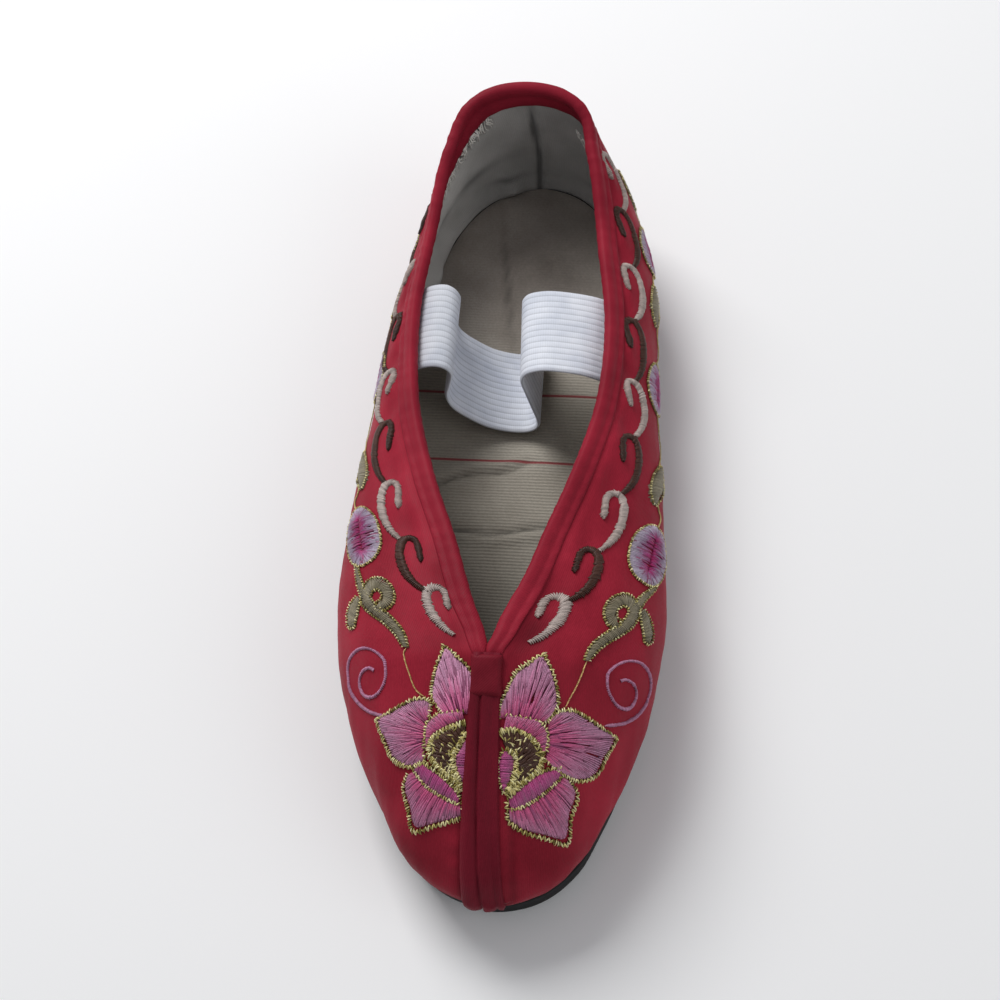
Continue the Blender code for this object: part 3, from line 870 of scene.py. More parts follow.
def binding_half(side):
    """The rings of one half of the binding, from the throat to the heel."""
    run = LENGTH * stations(BINDING_COLUMNS, math.acos(1 - 2 * BINDING_START / LENGTH))
    along = np.maximum(run, BINDING_JOIN)
    edge, edge_normal = wall_at(along, 0, side)
    upward = unit(edge - wall_at(along, 2.5, side)[0])
    core = edge - edge_normal * WALL / 2
    pucker = 0.09 * np.sin(along * 1.3 + 1.5 * np.sin(along * 0.31 + side))
    pucker = (pucker + 0.05 * np.sin(along * 2.9 + side)) * climb(along, LENGTH, LENGTH - 3)
    narrow = 0.8 + 0.2 * climb(along, 54, 68)
    near_heel = np.maximum(climb(along, LENGTH, LENGTH - 6), 0.3)
    loose = 1 + (1.8 if side < 0 else 0.5) * climb(along, 160, 200) * near_heel

    def leg(rows, inside):
        """Points of a leg that lies off the outside or the inside of the wall."""
        for down, off in rows:
            point, normal = wall_at(along, down * narrow * (inside_depth(along) if inside else 1), side)
            swell = pucker * (1.4 if down > 3 else 0.8) * (0 if off < 0.3 else 1)
            slack = off * loose if down > 2.5 else off
            reach = -(WALL + slack + swell) if inside else off + swell
            yield point + normal * reach[:, None]

    def bead():
        """Points over the rim, from the outside to the inside."""
        puff = 1 + pucker * 0.5
        for angle in np.radians(np.linspace(15, 165, 9)):
            across = math.cos(angle) * (WALL / 2 + BEAD_OFF) * puff * (1.7 * narrow - 0.7)
            rise = math.sin(angle) * BEAD_HEIGHT * puff
            yield core + edge_normal * across[:, None] + upward * rise[:, None]

    ring = np.stack([
        *leg(BINDING_OUTSIDE, False), *bead(), *leg(BINDING_INSIDE, True), *leg(BINDING_HIDDEN, True),
        core + upward * 0.2, *leg(BINDING_HIDDEN[::-1], False),
    ], 1)
    middle = (bow(along / LENGTH) + SHIFT[0] + skew(along, 0, side))[:, None]
    kept = middle + side * np.maximum(side * (ring[..., 0] - middle), 0.05)
    ring[..., 0] = np.where(along[:, None] < 90, kept, ring[..., 0])
    tail = wall_at(run, 0, side)[0] - edge
    tail[:, 2] -= 0.3 * (along - run)
    return ring + tail[:, None]


right_half, left_half = binding_half(1), binding_half(-1)
right_half[-1] = (right_half[-1] + left_half[-1]) / 2
binding_body = closed_band(np.concatenate([right_half, left_half[-2::-1]]))
add_piece(binding_body, "bias_binding", bias_satin, "collar_binding")

# %% [markdown]
# ## Toe strip and throat tab
# A folded strip of satin covers the seam down the toe. Its two edges are turned under, so it stands up as two
# soft ribs with a crease between them. A small tab hides where the strip and the binding's two ends meet.

# %% Vamp under the strip
STRIP_HALF_WIDTH_THROAT = 3.6
STRIP_HALF_WIDTH_TOE = 5.4
STRIP_FOOT_ANGLE = math.radians(41)
STRIP_CREASE = -0.05
STRIP_LEFT = 1.1
STRIP_COLUMNS = 80
STRIP_FOOT_COLUMNS = 13
STRIP_ROWS = 61


def tip_station(reach):
    """The station near the toe where the half width equals reach."""
    s = (reach / LAST["fullness"][0]) ** 2
    for _ in range(20):
        s = (reach / last(s, "fullness")) ** 2 / (1 - s)
    return s


def vamp_height(reach, s):
    belly = last(s, "sole_top") + last(s, "widest")
    share = np.clip(reach / np.maximum(half_width(s), 1e-6), 0, 1)
    return belly + (crest_height(s) - belly) * np.sqrt(1 - share ** 2)


def vamp_point(across, share):
    """A point beside the toe seam: share is 1 at the throat, 0 at the widest line and -1 at the foot."""
    reach = np.array([abs(across)])
    tip = tip_station(reach)
    if share >= 0:
        s = tip + (THROAT - tip) * share ** 2
        return np.array([across + bow(s)[0], along_y(s)[0], vamp_height(reach, s)[0]])
    angle = -share * STRIP_FOOT_ANGLE
    tuck = last(tip, "tuck") * (1 - math.cos(angle)) / (1 - math.cos(FEATHER_ANGLE))
    drop = (last(tip, "widest") - GAP) * math.sin(angle) / math.sin(FEATHER_ANGLE)
    height = last(tip, "sole_top") + last(tip, "widest") - drop
    return np.array([*plan_outline(tip, 1 if across >= 0 else -1, tuck)[0], height[0]])


def strip_rib(u, share):
    """Height of the strip across its half width: a narrow rib, a broad one and a third fold near the toe."""
    crease = STRIP_CREASE - 0.2 * max(share, 0)
    on_left, on_right = climb(u, crease, -1), climb(u, crease, 1)
    narrow = 1.1 * np.clip(np.sin(np.pi * on_left), 0, 1) ** 0.7
    broad = 1.15 * climb(on_right, 0, 0.12) ** 0.5 * (1 - 0.5 * climb(on_right, 0, 0.6) ** 1.5)
    rib = 0.5 + np.where(u < crease, narrow, broad)
    rib = rib * np.clip((1 - np.abs(u)) * 9, 0.2, 1) ** 0.7
    fold = 0.4 * bell(u, 0.6, 0.09) * climb(share, 0.6, 0)
    ripple = 0.07 * np.sin(share * 23 + u * 5) + 0.05 * np.sin(share * 41 - u * 9)
    return rib - fold + ripple * np.clip(1 - np.abs(u), 0, 1)


def upward_normals(points, level_rows=slice(0)):
    """Normals of a patch of the vamp; those of level_rows are laid flat."""
    normals = np.cross(np.gradient(points, axis=1), np.gradient(points, axis=0))
    normals[level_rows, :, 2] = 0
    return unit(normals) * np.sign(normals[0, 0, 2])


print("the strip is", 2 * STRIP_HALF_WIDTH_TOE, "mm wide at the toe")

# %% Toe strip
shares = np.concatenate([np.linspace(1, 0, STRIP_COLUMNS), -np.linspace(0, 1, STRIP_FOOT_COLUMNS)[1:]])
across = np.sin(np.linspace(-math.pi / 2, math.pi / 2, STRIP_ROWS))
strip_base = []
for share in shares:
    widening = 1 - max(share, 0)
    half = STRIP_HALF_WIDTH_THROAT + (STRIP_HALF_WIDTH_TOE - STRIP_HALF_WIDTH_THROAT) * widening
    half = half + 0.3 * math.sin(math.pi * widening)
    aside = STRIP_LEFT + 0.8 * math.sin(math.pi * widening)
    strip_base.append([vamp_point(u * half - aside, share) for u in across])
strip_base = np.array(strip_base) + SHIFT
strip_high = np.array([strip_rib(across, share) for share in shares])
strip_normals = upward_normals(strip_base, shares <= 0)
strip_top = strip_base + strip_normals * (0.15 + strip_high)[..., None]
strip_under = strip_base + strip_normals * 0.1
strip_body = closed_band(np.concatenate([strip_top, strip_under[:, -1:0:-4]], 1))
add_piece(strip_body, "toe_seam_strip", strip_satin, "toe_strip")

# %% Throat tab
TAB_HALF_WIDTH = 3.9
TAB_START = along_y(THROAT) - 0.5
TAB_LENGTH = 9.6
TAB_COLUMNS = 37
TAB_ROWS = 33
rows, wide = np.meshgrid(np.linspace(0, 1, TAB_COLUMNS), np.linspace(-1, 1, TAB_ROWS), indexing="ij")
tab_y = TAB_START - TAB_LENGTH * rows
tab_station = np.minimum((tab_y + LENGTH / 2) / LENGTH, THROAT)
tab_x = TAB_HALF_WIDTH * (1 - 0.05 * np.sin(math.pi * rows)) * wide - STRIP_LEFT
tab_height = vamp_height(np.abs(tab_x), tab_station)
tab_base = np.stack([tab_x + bow(tab_station), tab_y, tab_height], -1) + SHIFT
edge = np.minimum(1, np.minimum(rows, 1 - rows) / 0.09)
tab_lift = 1.35 + 0.7 * np.sqrt(edge) + 0.08 * np.sin(rows * 9 + wide * 2) - 0.3 * np.abs(wide) ** 3
tab_lift = tab_lift * (0.62 + 0.38 * np.sqrt(np.minimum(1, (1 - np.abs(wide)) / 0.25)))
tab_rise = upward_normals(tab_base) * tab_lift[..., None]
tab_body = closed_band(np.concatenate([tab_base + tab_rise, (tab_base + tab_rise * 0.3)[:, ::-1]], 1))
add_piece(tab_body, "throat_loop", tab_satin, "throat_tab")

# %% [markdown]
# ## Elastic
# A white ribbed elastic is sewn across the opening to hold the foot. It is slack here, so it rises in two
# humps with a trough between them. Its section has fourteen rounded ribs, which are modelled because their
# shadows show. The band follows nearly the same path as the solid, and its ends reach the inside wall.

# %% Elastic finish
KNIT_LOOP = 0.6
ELASTIC_STAIN = 9.091


def elastic_finish():
    """Knitted elastic: matt white yarn in ribs, with a fine knit; its cloth is measured across in ribs."""
    material, tree, shader = new_material("white ribbed elastic")
    cloth = add(tree, "Attribute", "Vector", attribute_name="cloth")
    place = add(tree, "TexCoord", "Object")
    knit = add(tree, "TexWave", "Fac", {
        "Vector": cloth, "Scale": per_mm(KNIT_LOOP), "Distortion": 1.0, "Detail": 1.0, "Detail Scale": 2.0,
    }, bands_direction="X")
    rib = add(tree, "TexWave", "Fac", {"Vector": cloth, "Scale": per_mm(1.0)}, bands_direction="Y")
    furrow = add(tree, "MapRange", "Result", {
        "Value": rib, "From Min": 0.0, "From Max": 0.2, "To Min": 0.76, "To Max": 1.0,
    })
    soil_and_shade = add(tree, "TexNoise", "Fac", {"Vector": place, "Scale": per_metre(ELASTIC_STAIN), "Detail": 4.0})
    shade = add(tree, "ValToRGB", "Color", {"Fac": soil_and_shade}, stops=((0.3, "#cdd2de"), (0.65, "#e6e9f1")))
    loops = add(tree, "MapRange", "Result", {"Value": knit, "To Min": 0.95, "To Max": 1.01})
    loops = add(tree, "Math", "Value", {0: loops, 1: furrow}, operation="MULTIPLY")
    # the cloth's third number darkens the yarn
    grey = add(tree, "SeparateXYZ", "Z", {"Vector": cloth})
    undarkened = add(tree, "MapRange", "Result", {"Value": grey, "To Min": 1.0, "To Max": 0.2})
    loops = add(tree, "Math", "Value", {0: loops, 1: undarkened}, operation="MULTIPLY")
    yarn = add(tree, "VectorMath", "Vector", {0: shade, "Scale": loops}, operation="SCALE")
    bump = add(tree, "Bump", "Normal", {"Height": knit, "Strength": 0.3, "Distance": 0.08 * MM})
    plug(tree, shader, {"Base Color": yarn, "Normal": bump, "Roughness": 0.8, "Sheen Weight": 0.15})
    return material


elastic = elastic_finish()
print("elastic with loops drawn", KNIT_LOOP, "mm apart")

# %% Path of the elastic
STRAP_WIDTH = 28.0
STRAP_THICKNESS = 1.2
STRAP_FRONT_HIGH = 24.5
STRAP_FRONT_LOW = 20.5
STRAP_HIGH = 36.0
STRAP_LOW = 16.0
STRAP_END_GAP = 0.4
STRAP_END_REACH = 8.0
STRAP_END_FLOOR = 28.0
STRAP_RIBS = 14
STRAP_STEPS = 221
# across the shoe and height of the middle of the band, from its left end to its right end
STRAP_PATH = (
    (-38.0, 31.0), (-35.2, 33.4), (-32.2, 36.2), (-29.0, 38.5), (-25.5, 39.5), (-22.3, 38.6), (-20.8, 35.8),
    (-21.6, 31.6), (-22.4, 27.4), (-20.8, 23.2), (-16.0, 19.2), (-11.5, 16.4), (-7.0, 14.6), (-2.9, 13.9),
    (0.8, 14.3), (3.4, 16.2), (4.0, 18.8), (2.5, 24.0), (0.8, 29.5), (-0.5, 34.4), (0.8, 37.9), (4.0, 39.8),
    (7.6, 40.2), (13.6, 39.4), (18.5, 38.2), (23.0, 36.4), (27.5, 34.4), (31.5, 32.8),
)


def curve_through(points, count):
    """Points on a smooth curve through the given ones."""
    points = np.asarray(points, float)
    ends = np.concatenate([[2 * points[0] - points[1]], points, [2 * points[-1] - points[-2]]])
    place = np.linspace(0, len(points) - 1, count)
    i = np.minimum(place.astype(int), len(points) - 2)
    t = (place - i)[:, None]
    a, b, c, d = ends[i], ends[i + 1], ends[i + 2], ends[i + 3]
    return b + 0.5 * t * (c - a + t * (2 * a - 5 * b + 4 * c - d + t * (3 * (b - c) + d - a)))


def inner_wall_x(side, y, z):
    """How far across the shoe the inside of the wall lies, at a place along it and a height."""
    x_at, y_at = [], []
    for along in np.linspace(20, 238, 90):
        point, normal = wall_at(along, np.linspace(0, 1, 60) * reach_at(along, side), side)
        inside = (point - normal * WALL - SHIFT)[::-1]
        x_at.append(np.interp(z, inside[:, 2], inside[:, 0]))
        y_at.append(np.interp(z, inside[:, 2], inside[:, 1]))
    return np.interp(y, y_at, x_at)


print("the path of the elastic goes through", len(STRAP_PATH), "points")

# %% Elastic band
path = curve_through(STRAP_PATH, STRAP_STEPS)
tangent = unit(np.gradient(path, axis=0))
outward = np.column_stack([-tangent[:, 1], tangent[:, 0]])
rise = climb(path[:, 1], STRAP_LOW, STRAP_HIGH)
front = STRAP_FRONT_LOW + (STRAP_FRONT_HIGH - STRAP_FRONT_LOW) * rise
width_share = np.linspace(0, 1, STRAP_RIBS * 6 + 1)
end_moves = np.zeros((STRAP_STEPS, len(width_share)))
for end, side in ((0, -1), (-1, 1)):
    nearness = climb(np.abs(path[:, 0] - path[end, 0]), STRAP_END_REACH, 0)
    nearness[path[:, 1] < STRAP_END_FLOOR] = 0
    wall_x = [inner_wall_x(side, front[end] + STRAP_WIDTH * share, path[end, 1]) for share in (0, 0.5, 1)]
    tilt = (width_share - 0.5) * (wall_x[2] - wall_x[0])
    move = wall_x[1] - side * STRAP_END_GAP - path[end, 0] + tilt
    end_moves += nearness[:, None] * move
rib = np.abs(np.sin(np.pi * STRAP_RIBS * width_share)) ** 0.5
selvedge = np.clip(np.minimum(width_share, 1 - width_share) * 40, 0.3, 1)
half = STRAP_THICKNESS / 2 * (0.76 + 0.24 * rib) * selvedge
left_hump = rise * climb(path[:, 0], -18, -24)
right_fold = rise * bell(path[:, 0], 1.0, 4.0)
right_end = climb(path[:, 0], 16, 28)
strap_y = front[:, None] + STRAP_WIDTH * width_share + left_hump[:, None] * (0.5 + 1.1 * width_share)
strap_faces = []
for face in (1, -1):
    x = path[:, :1] + face * outward[:, :1] * half + end_moves - 1.5 * right_fold[:, None] * width_share
    z = path[:, 1:] + face * outward[:, 1:] * half - 1.8 * right_end[:, None] * (1 - width_share)
    strap_faces.append(np.stack([x, strap_y, z], -1) + SHIFT)
strap_rings = np.concatenate([strap_faces[0], strap_faces[1][:, ::-1]], 1)
strap_length = run_along(path)[-1]
strap_ribs = np.concatenate([width_share, width_share[::-1]]) * STRAP_RIBS
strap_run, strap_ribs = np.meshgrid(run_along(path), strap_ribs, indexing="ij")
# the band is darker towards its left end and a little further along
strap_darkening = 0.46 * climb(strap_run, 30, 0) + 0.1 * bell(strap_run, 58, 14)
strap_body = closed_band(strap_rings, np.stack([strap_run, strap_ribs, strap_darkening], -1))
strap_piece = add_piece(strap_body, "ribbed_elastic", elastic, "elastic_strap")
print("elastic", STRAP_WIDTH, "mm wide and", round(strap_length), "mm long")

# %% [markdown]
# ## Insole
# A sock of ribbed cotton lies on the sole. Wear has creased it across the ball and the waist, folded it
# along the middle of the heel and darkened it there. Two thin red lines, printed as a plain border, cross
# it under the elastic. The ribs run across the foot and are a millimetre apart.

# %% Insole finish
BORDER_LINES = (35.4, 12.0)
INSOLE_RIB = 1.0
INSOLE_STAIN = 20.83
FUZZ_PER_MM = 1.4
WORN_FROM, WORN_TO = 25.0, 75.0


def insole_finish():
    """Ribbed cotton sock: dull beige cloth, dark with wear at the heel."""
    material, tree, shader = new_material("ribbed beige cotton")
    cloth = add(tree, "Attribute", "Vector", attribute_name="cloth")
    place = add(tree, "TexCoord", "Object")
    along = add(tree, "SeparateXYZ", "X", {"Vector": cloth})
    soil_and_shade = add(tree, "SeparateXYZ", "Z", {"Vector": cloth})
    rib = add(tree, "TexWave", "Fac", {
        "Vector": cloth, "Scale": per_mm(INSOLE_RIB), "Distortion": 1.2, "Detail": 2.0, "Detail Scale": 0.6,
    }, bands_direction="X")
    thread = add(tree, "TexNoise", "Fac", {"Vector": cloth, "Scale": FUZZ_PER_MM, "Detail": 3.0})
    stain = add(tree, "TexNoise", "Fac", {"Vector": place, "Scale": per_metre(INSOLE_STAIN), "Detail": 6.0})
    worn = add(tree, "MapRange", "Result", {
        "Value": along, "From Min": WORN_FROM, "From Max": WORN_TO,
    }, interpolation_type="SMOOTHSTEP")
    undarkened = add(tree, "ValToRGB", "Color", {"Fac": stain}, stops=((0.3, "#9d9589"), (0.7, "#b8b1a4")))
    dirty = add(tree, "ValToRGB", "Color", {"Fac": stain}, stops=((0.3, "#827a72"), (0.7, "#a69e95")))
    shade = add(tree, "Mix", 2, {0: worn, 6: undarkened, 7: dirty}, data_type="RGBA")
    flattened = add(tree, "MapRange", "Result", {"Value": worn, "To Min": 0.87, "To Max": 1.0})
    ribs = add(tree, "MapRange", "Result", {"Value": rib, "To Min": flattened, "To Max": 1.04})
    fuzz = add(tree, "MapRange", "Result", {
        "Value": thread, "From Min": 0.3, "From Max": 0.7, "To Min": 0.9, "To Max": 1.06,
    })
    grain = add(tree, "Math", "Value", {0: ribs, 1: fuzz}, operation="MULTIPLY")
    shade = add(tree, "VectorMath", "Vector", {0: shade, "Scale": grain}, operation="SCALE")
    for border in BORDER_LINES:
        away = add(tree, "Math", "Value", {0: along, 1: border}, operation="SUBTRACT")
        away = add(tree, "Math", "Value", {0: away}, operation="ABSOLUTE")
        ink = add(tree, "MapRange", "Result", {
            "Value": away, "From Min": 0.25, "From Max": 0.6, "To Min": 0.85, "To Max": 0.0,
        })
        shade = add(tree, "Mix", 2, {0: ink, 6: shade, 7: colour("#8d2630")}, data_type="RGBA")
    # the third number darkens the sock: wear at the heel, darker creases and painted shade towards the toe
    undimmed = add(tree, "MapRange", "Result", {"Value": soil_and_shade, "To Min": 1.0, "To Max": 0.3})
    shade = add(tree, "VectorMath", "Vector", {0: shade, "Scale": undimmed}, operation="SCALE")
    left = add(tree, "MapRange", "Result", {"Value": worn, "To Min": 1.0, "To Max": 0.15})
    relief = add(tree, "Math", "Value", {0: rib, 1: left, 2: thread}, operation="MULTIPLY_ADD")
    bump = add(tree, "Bump", "Normal", {"Height": relief, "Strength": 0.55, "Distance": 0.18 * MM})
    plug(tree, shader, {
        "Base Color": shade, "Normal": bump,
        "Roughness": 0.95, "Specular IOR Level": 0.2, "Sheen Weight": 0.2,
    })
    return material


insole_cotton = insole_finish()
print("insole with ribs", INSOLE_RIB, "mm apart and", len(BORDER_LINES), "border lines")

# %% Insole
INSOLE_INSET = 2.3
INSOLE_THICKNESS = 2.0
INSOLE_END = 0.012
INSOLE_COLUMNS = 301
INSOLE_ROWS = 57


def crease_lines(x, y):
    """Where the creases at the ball and the waist cross the sock at x, and how far right its fold is at y."""
    ball = -11.3 + 0.06 * (x + 8) + 0.9 * np.sin(x * 0.22)
    waist = 8.0 + 0.28 * (x + 10) + 0.8 * np.sin(x * 0.3)
    return ball, waist, (85 - y) * 0.13


def insole_relief(x, y):
    """Creases and folds, in millimetres."""
    ball, waist, aside = crease_lines(x, y)
    at_ball = -0.9 * bell(y, ball, 0.8) + 0.7 * bell(y, ball - 2.4, 1.7)
    at_waist = -0.8 * bell(y, waist, 0.8) + 0.6 * bell(y, waist + 2.4, 1.8)
    fold = 0.5 * bell(x, -12.5 + aside, 1.4) - 0.35 * bell(x, -10.2 + aside, 1.2)
    soft = 0.25 * np.sin(x * 0.19 + y * 0.06) * np.sin(y * 0.15 - x * 0.05)
    return at_ball + at_waist * climb(x, 6, -4) + fold * bell(y, 75, 26) + soft


def insole_soil_and_shade(x, y):
    """Darker creases and fold, a dark worn heel and painted shade towards the toe, from 0 to 1."""
    ball, waist, aside = crease_lines(x, y)
    soil_and_shade = 0.75 * bell(y, ball, 0.7) + 0.6 * bell(y, waist, 0.7) * climb(x, 4, -6)
    soil_and_shade = soil_and_shade + 0.5 * bell(x, -10.2 + aside, 1.0) * bell(y, 75, 24)
    # the last term is painted shade towards the toe
    soil_and_shade = soil_and_shade + 0.45 * bell(x, 10, 16) * bell(y, 84, 26) + 0.68 * climb(y, 6, -36)
    return np.clip(soil_and_shade, 0, 1)


s = stations(INSOLE_COLUMNS, INSOLE_END, math.pi - INSOLE_END)
left, right = (plan_outline(s, side, last(s, "tuck") + INSOLE_INSET) for side in (-1, 1))
u = np.sin(np.linspace(-math.pi / 2, math.pi / 2, INSOLE_ROWS))
plan = left[:, None] + (right - left)[:, None] * (u[None, :, None] + 1) / 2
base = (last(s, "sole_top") + GAP)[:, None] + 0 * u
rim = np.clip((1 - np.abs(u)) * (right - left)[:, :1] / 2 / 3, 0, 1)
ends_calm = np.clip(np.minimum(s, 1 - s)[:, None] * LENGTH / 6, 0, 1)
relief = insole_relief(plan[..., 0], plan[..., 1]) * rim * ends_calm
height = base + INSOLE_THICKNESS - 0.5 * (1 - rim) ** 2 + relief
insole_top, insole_under = (np.concatenate([plan, level[..., None]], -1) + SHIFT for level in (height, base))
insole_plan = np.concatenate([plan, plan[:, -2:0:-6]], 1)
soil_and_shade = insole_soil_and_shade(insole_plan[..., 0], insole_plan[..., 1])
insole_cloth = np.concatenate([insole_plan[..., ::-1], soil_and_shade[..., None]], -1)
insole_body = closed_band(np.concatenate([insole_top, insole_under[:, -2:0:-6]], 1), insole_cloth)
add_piece(insole_body, "ribbed_insole", insole_cotton, "insole")

# %% [markdown]
# ## Rubber sole
# The sole is a flat moulding of black rubber with a low heel. Its edge is rounded and dull, and the tread has
# shallow cross grooves, as such soles have for grip. Rubber scatters light weakly and gathers pale dust.

# %% Rubber finish
RUBBER_DUST = 7.692
RUBBER_GRAIN = 0.625


def rubber_finish():
    """Moulded rubber: near black, half matt, with a fine grain and pale dust."""
    material, tree, shader = new_material("moulded black rubber")
    place = add(tree, "TexCoord", "Object")
    dust = add(tree, "TexNoise", "Fac", {"Vector": place, "Scale": per_metre(RUBBER_DUST), "Detail": 8.0})
    grain = add(tree, "TexNoise", "Fac", {"Vector": place, "Scale": per_metre(RUBBER_GRAIN), "Detail": 2.0})
    shade = add(tree, "ValToRGB", "Color", {"Fac": dust}, stops=(
        (0.35, "#070708"), (0.62, "#0c0d0e"), (0.8, "#181818"),
    ))
    rough = add(tree, "MapRange", "Result", {"Value": dust, "To Min": 0.55, "To Max": 0.85})
    bump = add(tree, "Bump", "Normal", {"Height": grain, "Strength": 0.35, "Distance": 0.1 * MM})
    plug(tree, shader, {"Base Color": shade, "Roughness": rough, "Normal": bump, "Specular IOR Level": 0.25})
    return material


rubber = rubber_finish()
print("rubber with a grain of", RUBBER_GRAIN, "mm")

# %% Rubber sole
SOLE_END = 0.003
SOLE_COLUMNS = 281
TREAD_ROWS = 21
# reach out from the feather edge, with a step below the top, or with a share of the height over the tread
SOLE_TOP_EDGE = ((0.6, 0.0), (1.1, 0.0), (1.4, -0.25), (1.5, -0.9))
SOLE_SIDE = ((1.42, 0.7), (1.5, 0.45), (1.5, 0.2), (1.3, 0.07), (0.8, 0.0), (0.2, 0.0))
# how far the edge draws in under the toe, and up to which station, on each side
SOLE_HIDDEN = {1: (1.2, 0.06), -1: (2.0, 0.25)}
TREAD_INSET = 3
GROOVE_PITCH = 4.0
GROOVE_DEPTH = 0.5

s = stations(SOLE_COLUMNS, SOLE_END, math.pi - SOLE_END)
top, tread, tuck = (last(s, column) for column in ("sole_top", "tread", "tuck"))
levels = [(reach, top + step) for reach, step in SOLE_TOP_EDGE]
levels += [(reach, tread + (top - tread) * share) for reach, share in SOLE_SIDE]
edges = {}
for side, (depth, end) in SOLE_HIDDEN.items():
    inset = tuck + depth * climb(s, end, 0)
    edges[side] = [np.column_stack([plan_outline(s, side, inset - reach), level]) for reach, level in levels]
inner_left, inner_right = (plan_outline(s, side, tuck + TREAD_INSET) for side in (-1, 1))
tread_rows = []
for u in np.linspace(-1, 1, TREAD_ROWS):
    plan = inner_left + (inner_right - inner_left) * (u + 1) / 2
    wave = np.clip(np.sin(plan[:, 1] * math.tau / GROOVE_PITCH + 0.9 * math.sin(u * 5)) * 2, 0, 1)
    tread_rows.append(np.column_stack([plan, tread + GROOVE_DEPTH * wave]))
sole_rings = np.stack(edges[-1] + tread_rows + edges[1][::-1], 1) + SHIFT
toe_pinch, heel_pinch = ((sole_rings[[k]] + sole_rings[[k], ::-1]) / 2 for k in (0, -1))
sole_rings = np.concatenate([toe_pinch, sole_rings, heel_pinch])
add_piece(closed_band(sole_rings, sole_rings[..., :2]), "rubber_sole", rubber, "outsole")

# %% [markdown]
# ## Thread
# Embroidery is thousands of short stitches of untwisted silk, which shine like little cylinders. Each stitch
# is a thread of six rings, or of four where it is short. A ring has four points, so that the thread's round
# side catches the light, and its two ends sink into the satin. Thousands of objects would be slow, so all
# stitches of one silk become one mesh, built from arrays, and each vertex carries its thread's dye.

# %% Stitches
RINGS = 6
SHORT_RINGS = 4
SECTION = np.array([(-1.0, 0.0), (0.0, 0.8), (1.0, 0.0), (0.0, -0.56)])
TAPER = {RINGS: np.array([0.45, 0.9, 1.0, 1.0, 0.9, 0.45]), SHORT_RINGS: np.array([0.5, 1.0, 1.0, 0.5])}
SINK = {
    RINGS: np.array([-0.22, -0.03, 0.0, 0.0, -0.03, -0.22]),
    SHORT_RINGS: np.array([-0.2, 0.0, 0.0, -0.2]),
}
chance = np.random.default_rng(7)


def dye_row(codes):
    """The linear colours of a row of dyes."""
    return np.array([colour(code)[:3] for code in codes])


def blend(tints, place):
    """Colours at a place from 0 to 1 along a row of dyes."""
    row = dye_row(tints)
    at = np.clip(place, 0, 1) * (len(row) - 1)
    return np.stack([np.interp(at, np.arange(len(row)), row[:, k]) for k in range(3)], -1)


def sew(skein, side, places, lift, width, tint):
    """Add stitches to a skein: places and lift hold a chart place and a height for each stitch and ring."""
    count, rings = places.shape[:2]
    points, normals = skin_at(places[..., 0], places[..., 1], side, lift + SINK[rings])
    width = np.broadcast_to(np.reshape(width, (-1, 1)), (count, rings)) * TAPER[rings] / 2
    tint = np.clip(tint[:, None] if tint.ndim == 2 else tint, 0, 1)
    skein.append((points, normals, width, np.broadcast_to(tint, (count, rings, 3))))


print("stitches of", RINGS, "or", SHORT_RINGS, "rings")

# %% Thread meshes
def thread_mesh(points, normals, width, tint):
    """Corners, faces and dyes of closed threads that have the same number of rings."""
    count, rings = points.shape[:2]
    across = unit(np.cross(unit(np.gradient(points, axis=1)), normals))
    offset = SECTION[:, :1] * across[:, :, None] + SECTION[:, 1:] * normals[:, :, None]
    corners = (points[:, :, None] + offset * width[:, :, None, None]) * MM
    index = np.arange(count * rings * 4).reshape(count, rings, 4)
    turned = np.roll(index, -1, axis=2)
    sides = np.stack([index[:, :-1], turned[:, :-1], turned[:, 1:], index[:, 1:]], -1).reshape(-1, 4)
    caps = np.concatenate([index[:, 0, ::-1], index[:, -1]])
    dyes = np.repeat(tint[:, :, None], 4, axis=2).reshape(-1, 3)
    return corners.reshape(-1, 3), np.concatenate([sides, caps]), np.insert(dyes, 3, 1.0, axis=1)


def thread_piece(skein, name, material):
    """Turn a skein of stitches into one mesh."""
    corners, faces, dyes, start = [], [], [], 0
    for rings in sorted({part[0].shape[1] for part in skein}):
        alike = [part for part in skein if part[0].shape[1] == rings]
        places, quads, tints = thread_mesh(*(np.concatenate(column) for column in zip(*alike)))
        corners.append(places)
        faces.append(quads + start)
        dyes.append(tints)
        start += len(places)
    mesh = bpy.data.meshes.new(name)
    mesh.from_pydata(np.concatenate(corners).tolist(), [], np.concatenate(faces).tolist())
    layer = mesh.color_attributes.new("dye", "FLOAT_COLOR", "POINT")
    layer.data.foreach_set("color", np.concatenate(dyes).astype(np.float32).ravel())
    print(sum(len(part[0]) for part in skein), "stitches of", material.name)
    add_piece(mesh, name, material)


# %% Silk and gold thread
SILK_FIBRE = 0.3846
GILT_TURN = 0.4545


def thread_finish(name, spot, detail, worn, strength, depth, values):
    """Thread in the colour of its dye, with fibres that wear between two shades and stand out a little."""
    material, tree, shader = new_material(name)
    dyed = add(tree, "VertexColor", "Color", layer_name="dye")
    place = add(tree, "TexCoord", "Object")
    fibre = add(tree, "TexNoise", "Fac", {"Vector": place, "Scale": per_metre(spot), "Detail": detail})
    rubbed = add(tree, "MapRange", "Result", {
        "Value": fibre, "From Min": 0.3, "From Max": 0.7, "To Min": worn[0], "To Max": worn[1],
    })
    shade = add(tree, "VectorMath", "Vector", {0: dyed, "Scale": rubbed}, operation="SCALE")
    bump = add(tree, "Bump", "Normal", {"Height": fibre, "Strength": strength, "Distance": depth * MM})
    plug(tree, shader, {"Base Color": shade, "Normal": bump, **values})
    return material


